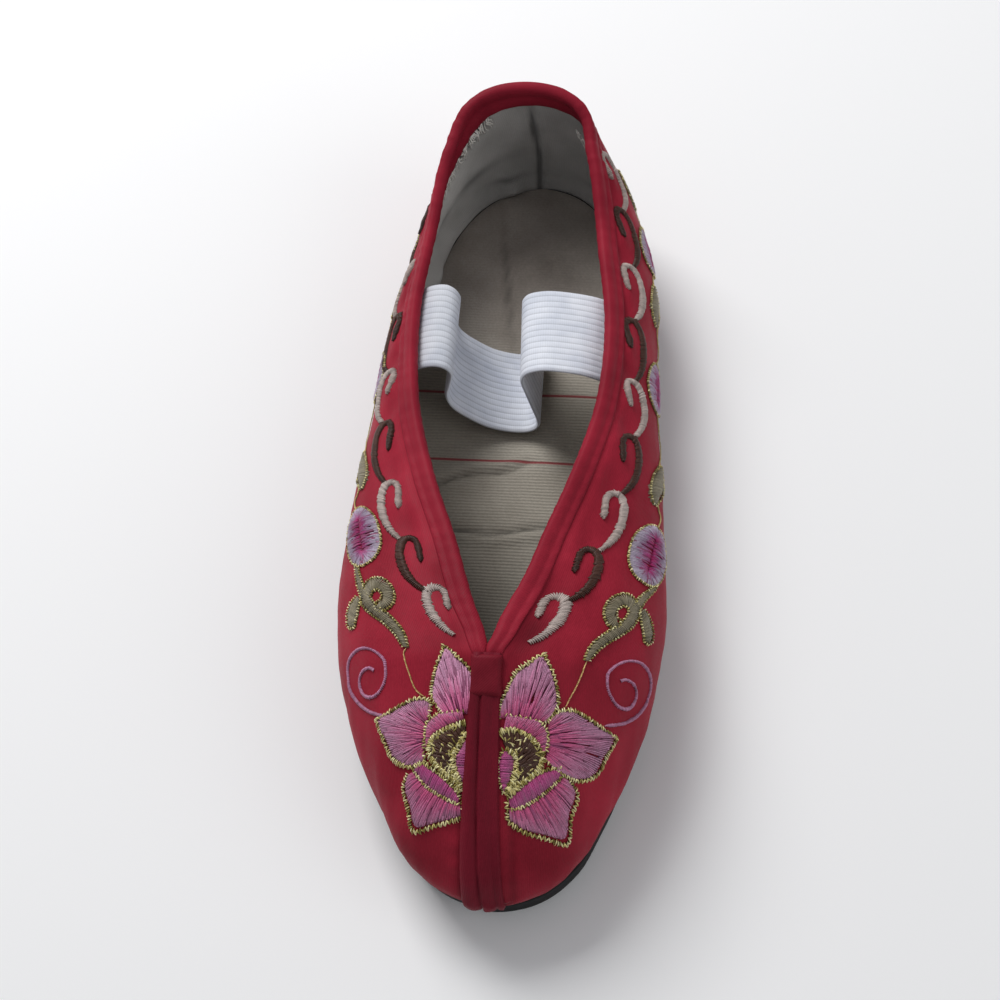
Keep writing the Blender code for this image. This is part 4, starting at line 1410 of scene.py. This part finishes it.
# flat silk has a bright broad gleam, and gilt is a thin foil wound round a core, so it glints in spots; real
# fibres are too fine to show and are drawn coarser here
silk = thread_finish("embroidery silk", SILK_FIBRE, 2.0, (0.82, 1.1), 0.4, 0.06, {
    "Roughness": 0.42, "Specular IOR Level": 0.35,
})
gilt = thread_finish("gilt thread", GILT_TURN, 1.0, (0.6, 1.15), 0.6, 0.1, {
    "Metallic": 0.2, "Roughness": 0.35,
})
print("silk fibres of", SILK_FIBRE, "mm and gilt turns of", GILT_TURN, "mm")

# %% [markdown]
# ## Kinds of stitch
# Four stitches make the pattern. Long-and-short stitch fills a petal: threads run from its base to its tip
# in uneven lengths, so that two colours blend. Satin stitch lays threads side by side across a band, and
# stem stitch lays short slanting ones along a thin line. The outline is a gilt thread that zigzags over
# the edge of a shape and hides where the silk enters the cloth.

# %% Lines and thread paths
THREAD_PATHS = 80
THREAD_STEPS = 60


def line(points, count):
    """A smooth line through chart points, with even steps, and its length."""
    fine = curve_through(points, 40 * len(points))
    reach = run_along(fine)
    at = np.linspace(0, reach[-1], count)
    return np.column_stack([np.interp(at, reach, fine[:, 0]), np.interp(at, reach, fine[:, 1])]), reach[-1]


def paced_line(points, pitch, fewest):
    """A smooth line with a step for each stitch, its two directions and its length."""
    length = line(points, 2)[1]
    places = line(points, max(fewest, int(length / pitch)))[0]
    return places, *frame_of_line(places), length


def frame_of_line(points):
    """The directions along a line and across it."""
    run = unit(np.gradient(points, axis=0))
    return run, np.column_stack([-run[:, 1], run[:, 0]])


def read_line(points, shares):
    """Places at shares of an evenly stepped line."""
    at = np.clip(shares, 0, 1) * (len(points) - 1)
    return np.stack([np.interp(at, np.arange(len(points)), points[:, k]) for k in range(2)], -1)


def read_lines(lines, shares):
    """One place on each line, at its own share."""
    at = (np.clip(shares, 0, 1) * (lines.shape[1] - 1)).astype(int)
    return lines[np.arange(len(lines)), at]


def spread_widths(widths, count):
    """Half widths at even shares of a band, as a column."""
    return np.interp(np.linspace(0, 1, count), np.linspace(0, 1, len(widths)), widths)[:, None] / 2


def rungs(a, b):
    """Thread paths that run straight from the points of one line to those of another."""
    share = np.linspace(0, 1, THREAD_STEPS)[None, :, None]
    return a[:, None] * (1 - share) + b[:, None] * share


def rung_threads(base, end):
    """Thread paths that run from a base line to an end line."""
    return rungs(line(base, THREAD_PATHS)[0], line(end, THREAD_PATHS)[0])


def fan_threads(left, right):
    """Thread paths that spread from a petal's base to its whole edge."""
    return rung_threads([left[0], (left[0] + right[0]) / 2, right[0]], np.concatenate([left, right[-2::-1]]))


print("a shape has", THREAD_PATHS, "thread paths of", THREAD_STEPS, "steps")

# %% Long-and-short fill
UNDER_DYES = ("#93406a", "#9c5678", "#a06d86")
UNDER_THREAD = 0.5
SILK_THREAD = 0.33
STITCH_OVERLAP = 1.5


def padded_fill(skein, side, paths, tints, stitch=6.0, height=0.3, dome=0.45, short=0.0):
    """A coarse dark layer of silk with a fine bright one over it; short is the bare share before the edge."""
    paths = paths[:, :round(paths.shape[1] * (1 - short))]
    fill(skein, side, paths, UNDER_DYES, UNDER_THREAD, stitch * 1.7, height - 0.14, dome * 0.9)
    fill(skein, side, paths, tints, SILK_THREAD, stitch, height, dome)


def fill(skein, side, paths, tints, thread, stitch, height, dome):
    """Long-and-short stitch along paths[thread, step]; lanes end early where the paths draw together."""
    spread = np.linalg.norm(np.diff(paths, axis=0), axis=2).sum(axis=0)
    lanes = max(3, int(spread.max() / thread))
    places, tops, shades = [], [], []
    for lane in range(lanes):
        w = (lane + 0.5 + 0.18 * chance.standard_normal()) / lanes
        path = paths[int(np.clip(w, 0, 1) * (len(paths) - 1))]
        crown = math.sin(math.pi * np.clip(w, 0.02, 0.98)) ** 0.6
        length = np.linalg.norm(np.diff(path, axis=0), axis=1).sum()
        length = length * (1 - 0.03 * chance.random())
        at = -stitch * 0.5 * chance.random()
        while at < length - 0.4:
            size = stitch * (0.7 + 0.6 * chance.random())
            first, final = max(at, 0) / length, min(at + size, length) / length
            room = spread[int((first + final) / 2 * (len(spread) - 1))] / spread.max()
            at += size - STITCH_OVERLAP
            if math.floor((lane + 1) * room) == math.floor(lane * room) and room < 0.96:
                continue
            v = np.linspace(first, final, RINGS)
            bulge = dome * crown * np.sin(np.pi * (0.12 + 0.8 * v))
            places.append(read_line(path, v))
            tops.append(height + bulge + 0.035 * chance.standard_normal())
            shade = blend(tints, v + 0.10 * chance.standard_normal())
            shades.append(shade * (1 + 0.10 * chance.standard_normal()))
    width = thread * (1.35 + 0.2 * chance.random(len(places)))
    sew(skein, side, np.array(places), np.array(tops), width, np.array(shades))


print("silk threads lie", SILK_THREAD, "mm apart")

# %% Satin stitch and stem stitch
BAND_PITCH = 0.44


def band(skein, side, path, widths, tints, slant=0.25, height=0.2, dome=0.4, pitch=BAND_PITCH):
    """Satin stitch across a line; widths are the band's full widths at even shares of its length."""
    points, run, across, length = paced_line(path, pitch, 4)
    count = len(points)
    half = spread_widths(widths, count) * (1 + 0.1 * chance.standard_normal((count, 1)))
    half = half * np.sqrt(np.clip((1 - np.linspace(0, 1, count)) * length / 1.1, 0.08, 1))[:, None]
    q = np.linspace(-1, 1, RINGS)
    places = points[:, None] + (across + run * slant)[:, None] * (half * q)[..., None]
    lift = height + dome * (1 - q ** 2) + 0.03 * chance.standard_normal((count, 1))
    shade = blend(tints, np.linspace(0, 1, count)) * (1 + 0.13 * chance.standard_normal((count, 1)))
    sew(skein, side, places, lift, pitch * 1.25, shade)


def stem(skein, side, path, width, tints, stitch=2.4, height=0.3):
    """Stem stitch: short slanting threads that follow a line."""
    points, length = line(path, 400)
    across = frame_of_line(points)[1]
    count = max(4, int(length / (stitch * 0.32)))
    starts = np.linspace(0, 1 - stitch / length, count)
    v = starts[:, None] + np.linspace(0, 1, SHORT_RINGS) * stitch / length
    lean = np.linspace(-0.5, 0.5, SHORT_RINGS) * width
    places = read_line(points, v) + read_line(across, v) * lean[:, None]
    shade = blend(tints, starts) * (1 + 0.08 * chance.standard_normal((count, 1)))
    lift = np.full(v.shape, height) + 0.03 * chance.standard_normal((count, 1))
    sew(skein, side, places, lift, width * 0.62, shade)


print("satin stitches lie", BAND_PITCH, "mm apart")

# %% Gilt outline
# the palest shades are painted glints; the others are the gilt's own tones
GILT_TONES_AND_GLINTS = dye_row(("#f5ebb2", "#cdbf76", "#e6da98", "#928440"))
GOLD_CORE_DYES = ("#6d6034", "#7b6c3a")


def outline(skein, side, path, pitch=0.58, stitch=1.35, lean=70, height=0.45, width=0.42):
    """A gilt zigzag over a line, with a darker thread under it."""
    points, run, across, _ = paced_line(path, pitch, 3)
    count = len(points)
    turn = np.radians(lean + 18 * chance.standard_normal(count)) * np.where(np.arange(count) % 2, 1, -1)
    heading = run * np.cos(turn)[:, None] + across * np.sin(turn)[:, None]
    size = stitch * (0.85 + 0.3 * chance.random(count))
    q = np.linspace(-0.5, 0.5, SHORT_RINGS)
    places = points[:, None] + heading[:, None] * (size[:, None] * q)[..., None]
    lift = height + 0.14 * (1 - 4 * q ** 2) + 0.05 * chance.standard_normal((count, 1))
    shade = GILT_TONES_AND_GLINTS[chance.integers(0, len(GILT_TONES_AND_GLINTS), count)]
    sew(skein, side, places, lift, width, shade * (1 + 0.12 * chance.standard_normal((count, 1))))
    stem(skein, side, path, 0.5, GOLD_CORE_DYES, stitch=2.6, height=height - 0.2)


def tangle(skein, side, inner, outer, count):
    """Gilt stitches thrown every way between two lines, thickest along them."""
    threads = rung_threads(inner, outer)
    picked = threads[chance.integers(0, len(threads), count)]
    middle = read_lines(picked, chance.beta(0.55, 0.55, count))
    angle = chance.uniform(0, math.pi, count)
    q = np.linspace(-0.5, 0.5, SHORT_RINGS) * chance.uniform(1.0, 2.2, count)[:, None]
    heading = np.column_stack([np.cos(angle), np.sin(angle)])
    places = middle[:, None] + heading[:, None] * q[..., None]
    lift = 0.62 + 0.25 * chance.random((count, 1)) + np.zeros((1, SHORT_RINGS))
    sew(skein, side, places, lift, 0.4, GILT_TONES_AND_GLINTS[chance.integers(0, len(GILT_TONES_AND_GLINTS), count)])


print(len(GILT_TONES_AND_GLINTS), "shades of gilt")

# %% [markdown]
# ## Lotus
# Half a lotus sits on each side of the toe strip, so that the two halves read as one flower. Its petals are
# filled from deep pink at the base to pale mauve at the tip, round a dark seed head. The shapes are given in
# millimetres on the chart. The top petal and the side petal are drawn once, for the right half, and the left
# half has them mirrored, a touch closer to the strip. The shapes round the seed head are drawn for each half.

# %% Lotus drawings
PETAL_DYES = ("#c15480", "#c35e88", "#c2779a", "#bf82a1", "#bd87a5")
# the paler dyes below are a painted highlight for the left top petal
PAINTED_HIGHLIGHT_DYES = ("#dc6c9c", "#dd76a2", "#da8db0", "#d496b6", "#d19ab8")
RUFFLE_DYES = ("#b5477f", "#b6548a", "#ab6388")
SEED_DYES = ("#43281e", "#533527")
TOP_PETAL = (((37.9, 2.3), (41.6, 2.7), (44.4, 4.1), (48.8, 6.6), (51.5, 10.0), (54.0, 12.8)),
             ((38.2, 13.7), (42.1, 16.7), (45.7, 16.6), (49.9, 15.4), (54.0, 12.8)))
SIDE_PETAL = (((38.4, 14.4), (41.1, 17.2), (42.0, 21.2), (41.2, 24.9), (39.8, 30.3), (39.1, 34.9)),
              ((29.7, 14.2), (27.6, 18.4), (27.0, 23.3), (29.6, 28.9), (34.3, 31.9), (39.1, 34.9)))
LEFT_SIDE_BASE = ((38.4, 15.4), (30.2, 16.6))
# inner and outer edges of the shapes round the seed head, on each side
RUFFLE = {
    1: (((34.9, 3.3), (35.7, 5.3), (35.3, 8.5), (33.9, 11.3), (31.4, 12.8)),
        ((38.8, 4.0), (38.6, 8.4), (38.1, 12.4), (36.0, 14.3), (32.0, 14.2))),
    -1: (((37.2, 6.2), (36.6, 8.6), (35.4, 11.4), (34.2, 14.0), (32.2, 15.0)),
         ((39.2, 6.6), (39.0, 10.4), (38.6, 13.2), (36.6, 15.8), (31.4, 16.4))),
}
LONG_PETAL = {
    1: (((29.0, 17.9), (27.1, 13.0), (24.7, 9.5), (21.8, 6.3), (20.4, 4.8)),
        ((27.3, 18.5), (25.8, 17.2), (23.2, 14.4), (20.6, 11.0), (18.9, 8.0), (18.2, 5.8))),
    -1: (((28.0, 18.6), (28.2, 16.9), (27.0, 14.8), (25.3, 12.1), (23.6, 9.9), (21.8, 8.0), (20.0, 6.9)),
         ((26.7, 19.3), (25.0, 17.8), (23.0, 15.6), (21.5, 13.2), (20.1, 10.5), (18.9, 7.4))),
}
LOW_PETAL = {
    1: (((18.4, 5.2), (18.9, 8.0), (20.6, 11.0), (23.2, 14.4), (25.8, 17.2), (27.0, 18.4)),
        ((15.6, 5.2), (13.9, 8.8), (13.3, 14.0), (13.3, 20.8), (18.6, 21.4), (23.7, 23.1), (26.4, 20.6))),
    -1: (((18.6, 6.8), (20.1, 10.5), (21.5, 13.2), (23.0, 15.6), (25.0, 17.8), (26.6, 19.2)),
         ((16.0, 6.4), (15.1, 9.7), (14.4, 13.5), (13.9, 19.7), (18.7, 21.2), (23.1, 22.6), (26.2, 21.2))),
}
LOW_PETAL_FOOT = {1: ((19.6, 4.6), (17.6, 4.8)), -1: ((19.6, 6.2), (17.6, 6.2))}
INNER_PETAL = {
    1: (((30.9, 3.4), (28.0, 2.3), (24.5, 2.6), (21.8, 3.6)),
        ((31.0, 4.6), (29.8, 6.0), (27.8, 6.4), (24.5, 5.4), (21.8, 3.9))),
    -1: (((33.4, 4.6), (30.6, 4.6), (27.0, 4.6), (23.0, 4.8)),
         ((33.4, 5.8), (31.2, 7.1), (29.0, 8.2), (26.4, 7.9), (23.4, 6.6))),
}
SEED = {
    1: (((31.2, 4.2), (30.4, 5.8), (29.6, 6.6), (27.5, 6.9), (24.3, 6.0), (21.4, 4.4)),
        ((34.6, 2.6), (35.7, 4.9), (35.2, 8.2), (33.8, 11.0), (31.8, 12.7), (30.0, 13.2), (28.0, 12.4),
         (26.0, 10.4), (23.9, 7.8), (21.6, 5.2))),
    -1: (((34.3, 5.8), (31.7, 7.3), (30.2, 8.6), (28.0, 8.9), (26.1, 8.3), (24.2, 7.3), (22.0, 6.5)),
         ((36.6, 6.0), (35.9, 8.7), (35.0, 11.3), (33.8, 13.9), (32.0, 15.0), (30.1, 14.9), (28.5, 14.0),
          (26.8, 12.2), (25.2, 9.9), (23.6, 8.0), (21.6, 7.0))),
}
SEED_STITCHES = 90


def placed(points, side, shift=0.0):
    """A drawing for one side: the left half lies a little nearer the strip and the collar."""
    points = np.array(points, float)
    if side < 0:
        points[:, 1] = np.maximum(points[:, 1] * 0.94 - 1.0 - shift, 2.0)
        points[:, 0] += 0.6
    return points


print("the side petal reaches", SIDE_PETAL[0][-1][1], "mm down the wall")

# %% Sew the lotus
pink_skein, lilac_skein, gold_skein, scroll_skein, fray_skein = [], [], [], [], []
for side in (-1, 1):
    for petal in (TOP_PETAL, SIDE_PETAL):
        left_edge, right_edge = (placed(edge, side) for edge in petal)
        if petal is SIDE_PETAL and side < 0:
            left_edge[0], right_edge[0] = LEFT_SIDE_BASE
        # a painted highlight on the left top petal
        dyes = PAINTED_HIGHLIGHT_DYES if petal is TOP_PETAL and side < 0 else PETAL_DYES
        padded_fill(pink_skein, side, fan_threads(left_edge, right_edge), dyes, short=0.05)
        outline(gold_skein, side, left_edge)
        outline(gold_skein, side, right_edge)
    padded_fill(pink_skein, side, rung_threads(*LOW_PETAL[side]), PETAL_DYES[:4], short=0.12)
    for petal in (LONG_PETAL[side], INNER_PETAL[side]):
        padded_fill(pink_skein, side, rung_threads(*petal), RUFFLE_DYES)
        outline(gold_skein, side, petal[0])
        outline(gold_skein, side, petal[1])
    outline(gold_skein, side, (*LOW_PETAL_FOOT[side], *LOW_PETAL[side][1]))
    padded_fill(pink_skein, side, rung_threads(*RUFFLE[side]), PETAL_DYES[:3], stitch=3.2, height=0.4)
    outline(gold_skein, side, RUFFLE[side][1][:3], pitch=0.95)
    outline(gold_skein, side, RUFFLE[side][1][2:], height=0.6)
    inner, outer = SEED[side]
    for thread, stitch, height, dome in ((0.5, 3.0, 0.2, 0.3), (0.4, 2.5, 0.3, 0.35)):
        fill(pink_skein, side, rung_threads(inner, outer), SEED_DYES, thread, stitch, height, dome)
    outline(gold_skein, side, outer, pitch=0.42, stitch=2.0, lean=78, height=0.6, width=0.46)
    outline(gold_skein, side, inner, pitch=0.5, stitch=1.8, lean=72, height=0.65, width=0.46)
    tangle(gold_skein, side, inner, outer, SEED_STITCHES)
print(len(pink_skein), "layers of pink and brown silk")

# %% [markdown]
# ## Scrolls, leaves and small flowers
# A chain of hooked scrolls, cream and brown by turns, follows the collar. All share one drawing, which is
# stretched between two neighbouring points of the chain. Below it a vine of gilt stems, olive leaves and
# lilac flowers runs along the side of the shoe to the heel, and a thin pink spiral curls beside the lotus.
# The leaves nearest the toe are drawn for each side, and the rest once, for the right side.

# %% Scroll chain
# share of the step along the chain, and millimetres out from it
SCROLL = ((0.0, 0.0), (0.16, 1.9), (0.37, 3.0), (0.6, 2.9), (0.8, 1.8), (0.94, -0.2), (0.97, -2.6),
          (0.86, -4.0), (0.69, -3.5), (0.5, -2.5))
# how far a scroll overshoots its joint, and the fullness of its back and of its hook
PLAIN_BEND = (0.0, 1.0, 1.0)
FIRST_BEND = (0.13, 0.7, 1.04)
SCROLL_WIDTHS = (1.6, 2.2, 2.7, 2.9, 2.9, 2.6, 2.3, 2.1, 2.0, 1.9)
CREAM = ("#b0a29b", "#baaca5", "#a5968f")
BROWN = ("#41281f", "#4f3127", "#38221b")
for side, chain in CHAIN.items():
    for k, (first, final) in enumerate(zip(chain[:-1], chain[1:])):
        step = np.array(final) - first
        out = unit(np.array([-step[1], step[0]]))
        over, back, hook = PLAIN_BEND if k else FIRST_BEND
        scroll = [first + step * u * (1 + over * u) + out * v * (back if v > 0 else hook) for u, v in SCROLL]
        band(scroll_skein, side, scroll, SCROLL_WIDTHS, BROWN if k % 2 else CREAM)
print(len(scroll_skein), "scrolls along the collar")

# %% Vine drawings
FLOWER = ((81.7, 31.5), (82.5, 27.5), (85.0, 24.8), (88.5, 23.3), (94.0, 23.0), (97.8, 24.3), (101.3, 27.5),
          (101.9, 32.0), (99.5, 35.7), (95.0, 38.0), (90.5, 38.3), (85.5, 37.0), (82.4, 34.4))
FLOWER_CORE = ((86.5, 31.0), (97.5, 30.6))
FLOWER_DYES = ("#b02a6c", "#a34880", "#a388a4", "#b3a5b8", "#bbb0be")
LEFT_FLOWER_UP = 1.2
LEAF_DYES = ("#7c745f", "#8f8670", "#807761")
LEAF_WIDTHS = np.array([0.25, 0.75, 1.0, 1.0, 0.8, 0.3])
# each part of the leaf beside the lotus: its widths and its middle line on the two sides
LEAF_PARTS = (
    ((1.5, 2.6, 3.1, 3.3, 3.4, 3.6, 3.8, 3.9, 3.9, 3.9, 3.8, 3.5, 3.0), {
        1: ((54.5, 23.5), (58.2, 23.7), (61.5, 25.2), (64.8, 27.5), (68.1, 29.4), (71.5, 29.9), (73.7, 28.4),
            (74.2, 26.1), (73.0, 24.2), (71.2, 23.0), (68.9, 23.2), (67.1, 24.6), (66.4, 26.4)),
        -1: ((55.4, 21.4), (59.5, 21.6), (63.9, 23.6), (67.5, 26.6), (71.4, 28.6), (74.3, 26.9), (75.1, 24.5),
             (74.2, 22.2), (71.4, 21.0), (69.0, 21.8), (68.0, 23.7), (67.8, 25.1)),
    }),
    ((3.0, 2.2, 1.2), {
        1: ((72.4, 29.9), (77.0, 31.6), (82.0, 35.0)),
        -1: ((72.4, 28.9), (77.0, 29.8), (82.6, 30.2)),
    }),
    ((2.4, 4.1, 4.4, 3.4), {
        1: ((73.2, 32.4), (71.1, 34.7), (68.7, 36.7), (65.8, 38.1)),
        -1: ((72.6, 31.2), (70.6, 33.4), (68.2, 35.2), (65.4, 36.4)),
    }),
)
GOLD_STEM = ((54.6, 23.4), (52.5, 23.6), (47.9, 21.8), (44.2, 19.8), (42.0, 18.7))
LEFT_STEM_DOWN = 1.6
SPIRAL = ((52.4, 35.2), (53.3, 37.1), (53.0, 40.2), (51.0, 41.8), (47.9, 40.2), (46.4, 36.9), (46.6, 33.5),
          (48.9, 31.0), (52.2, 30.6), (55.6, 31.8), (58.2, 34.8), (59.2, 39.2), (58.1, 44.3), (55.5, 47.6),
          (52.0, 48.0), (47.8, 44.6), (44.2, 39.4), (42.0, 34.2), (40.8, 30.5))
LEFT_SPIRAL_MOVE = (-1.6, 0.8)
# the vine behind the large flower: place along and down, length, width and kind
VINE = ((116.0, 27.5, 14.0, 7.5, "leaf"), (149.5, 22.0, 18.0, 13.0, "flower"),
        (178.5, 20.5, 14.0, 7.0, "leaf"), (199.0, 21.5, 16.0, 12.0, "flower"),
        (219.0, 20.0, 12.0, 6.0, "leaf"))
VINE_STEMS = (
    ((101.5, 31.0), (106.0, 32.0), (110.0, 29.0), (122.0, 26.0), (132.0, 28.5), (141.0, 23.0)),
    ((158.5, 21.5), (164.0, 25.0), (172.0, 21.5), (185.0, 20.0), (191.5, 21.5)),
    ((207.0, 21.5), (211.0, 23.0), (214.0, 20.5), (226.0, 19.0)),
)
LEFT_VINE_UP = 4.0
print(len(VINE), "leaves and flowers behind the large flower")

# %% Flowers and leaves
def lilac_flower(side, rim, core):
    """A round flower: threads spread from a short middle line to the rim."""
    rim = np.concatenate([rim, rim[:1]])
    edge = line(rim, 120)[0]
    start, end = np.array(core)
    reach = end - start
    share = np.clip((edge - start) @ reach / (reach @ reach), 0, 1)
    paths = rungs(start + share[:, None] * reach, edge)
    padded_fill(lilac_skein, side, paths, FLOWER_DYES, stitch=4.6, dome=0.4)
    outline(gold_skein, side, rim, pitch=0.75, stitch=1.0)


def edges_of_band(path, widths, count):
    """The middle line of a band and its two edges."""
    points = line(path, count)[0]
    reach = frame_of_line(points)[1] * spread_widths(widths, count)
    return points, points + reach, points - reach


def leaf(side, place, depth, length, width):
    """An olive leaf with a gilt edge."""
    half, widths = length / 2, LEAF_WIDTHS * width
    middle = [(place - half, depth), (place - half * 0.4, depth - width * 0.06), (place + half * 0.4, depth),
              (place + half, depth - 0.4)]
    band(scroll_skein, side, middle, widths, LEAF_DYES, slant=0.5)
    _, one_edge, other_edge = edges_of_band(middle, widths, 14)
    ring = np.concatenate([one_edge, other_edge[::-1], one_edge[:1]])
    outline(gold_skein, side, ring, pitch=0.8, stitch=0.9)


def gilt_edges(side, path, widths):
    """A gilt outline along both edges of a band and round its end."""
    points, one_edge, other_edge = edges_of_band(path, widths, 3 * len(widths))
    tip = points[-1:] + (points[-1:] - points[-2:-1])
    edge = np.concatenate([one_edge, tip, other_edge[::-1]])
    outline(gold_skein, side, edge, pitch=0.85, stitch=0.95, width=0.4)


print(len(FLOWER_DYES), "dyes from the middle of a flower to its rim")

# %% Sew the vine
for side in (-1, 1):
    rim, core = (placed(shape, side, LEFT_FLOWER_UP) for shape in (FLOWER, FLOWER_CORE))
    lilac_flower(side, rim, core)
    for widths, middles in LEAF_PARTS:
        band(scroll_skein, side, middles[side], widths, LEAF_DYES)
        gilt_edges(side, middles[side], widths)
    thread_line, spiral = placed(GOLD_STEM, side), placed(SPIRAL, side)
    if side < 0:
        thread_line[1:-1, 1] += LEFT_STEM_DOWN
        spiral += LEFT_SPIRAL_MOVE
    stem(gold_skein, side, thread_line, 0.34, ("#dcb878", "#c9a068"), stitch=1.8)
    band(lilac_skein, side, spiral, (0.85, 0.9, 0.8), ("#bd85a4", "#b07a98"), dome=0.2, height=0.15)
    raised = LEFT_VINE_UP if side < 0 else 0
    for path in VINE_STEMS:
        stem(gold_skein, side, np.array(path) - (0, raised), 0.5, ("#cdb877", "#b69f5e"), stitch=1.8)
    for place, depth, length, width, kind in VINE:
        depth = depth - raised
        if kind == "leaf":
            leaf(side, place, depth, length, width)
        else:
            angle = np.linspace(0, math.tau, 12, endpoint=False)
            rim = np.column_stack([place + np.cos(angle) * length / 2, depth + np.sin(angle) * width / 2])
            lilac_flower(side, rim, ((place - length * 0.28, depth), (place + length * 0.28, depth)))
print(len(lilac_skein), "layers of lilac silk")

# %% [markdown]
# ## Frayed lining
# Inside the heel the raw edge of the lining shows below the binding and has come apart into loose threads.
# They hang from the binding's inner edge, lie on the lining and curl a little, so each is a thin stitch whose
# points follow the inside of the wall.

# %% Frayed threads
FRAY_START = 5.4
# side, first and last place along, number of threads, the longest, and how far they stand off the lining
FRAYS = ((-1, 186.0, 236.0, 260, 5.5, 0.6), (1, 196.0, 235.0, 170, 10.5, 2.8))
for side, first, final, count, longest, off in FRAYS:
    start = chance.uniform(first, final, (count, 1))
    fall = chance.uniform(0.3 * longest, longest, (count, 1)) * chance.uniform(0.6, 1.2, (count, 1))
    if side > 0:
        fall = fall * np.clip((LENGTH - start) / 18, 0.45, 1)
    drift = chance.normal(0.0, 1.0, (count, 1)) * np.clip((LENGTH - start) / 20, 0.3, 1)
    share = np.linspace(0, 1, RINGS)
    along = start + drift * share ** 1.5 + 0.3 * np.sin(share * 5 + start)
    along = np.clip(along, 0, LENGTH - 0.5)
    down = FRAY_START * inside_depth(along) + fall * share
    normals = -wall_at(along, down, side)[1]
    curl = chance.uniform(0.0, 0.9, (count, 1)) * np.sin(np.pi * (0.1 + 0.7 * share))
    points = lining_at(along, down, side) + normals * (off + curl)[..., None]
    tints = np.clip(dye_row(["#eceae2"]) * (1 + 0.12 * chance.standard_normal((count, 1))), 0, 1)
    width = np.broadcast_to(chance.uniform(0.26, 0.5, (count, 1)), along.shape) / 2
    fray_skein.append((points, normals, width, np.repeat(tints[:, None], RINGS, axis=1)))

thread_piece(pink_skein, "petal_silk", silk)
thread_piece(lilac_skein, "flower_silk", silk)
thread_piece(scroll_skein, "scroll_silk", silk)
thread_piece(gold_skein, "gilt_outlines", gilt)
thread_piece(fray_skein, "frayed_threads", silk)

# %% [markdown]
# ## Sizes
# The two boxes, of the imported solids and of the dressed shoe, are printed side by side so that the sizes can
# be compared.

# %% Sizes
boxes = {"cad": cad_box, "visual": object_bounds()}
plain = {name: [[float(x) for x in corner] for corner in box] for name, box in boxes.items()}
for name, (low, high) in plain.items():
    print(name, "size in mm:", np.round((np.array(high) - low) / MM, 1))
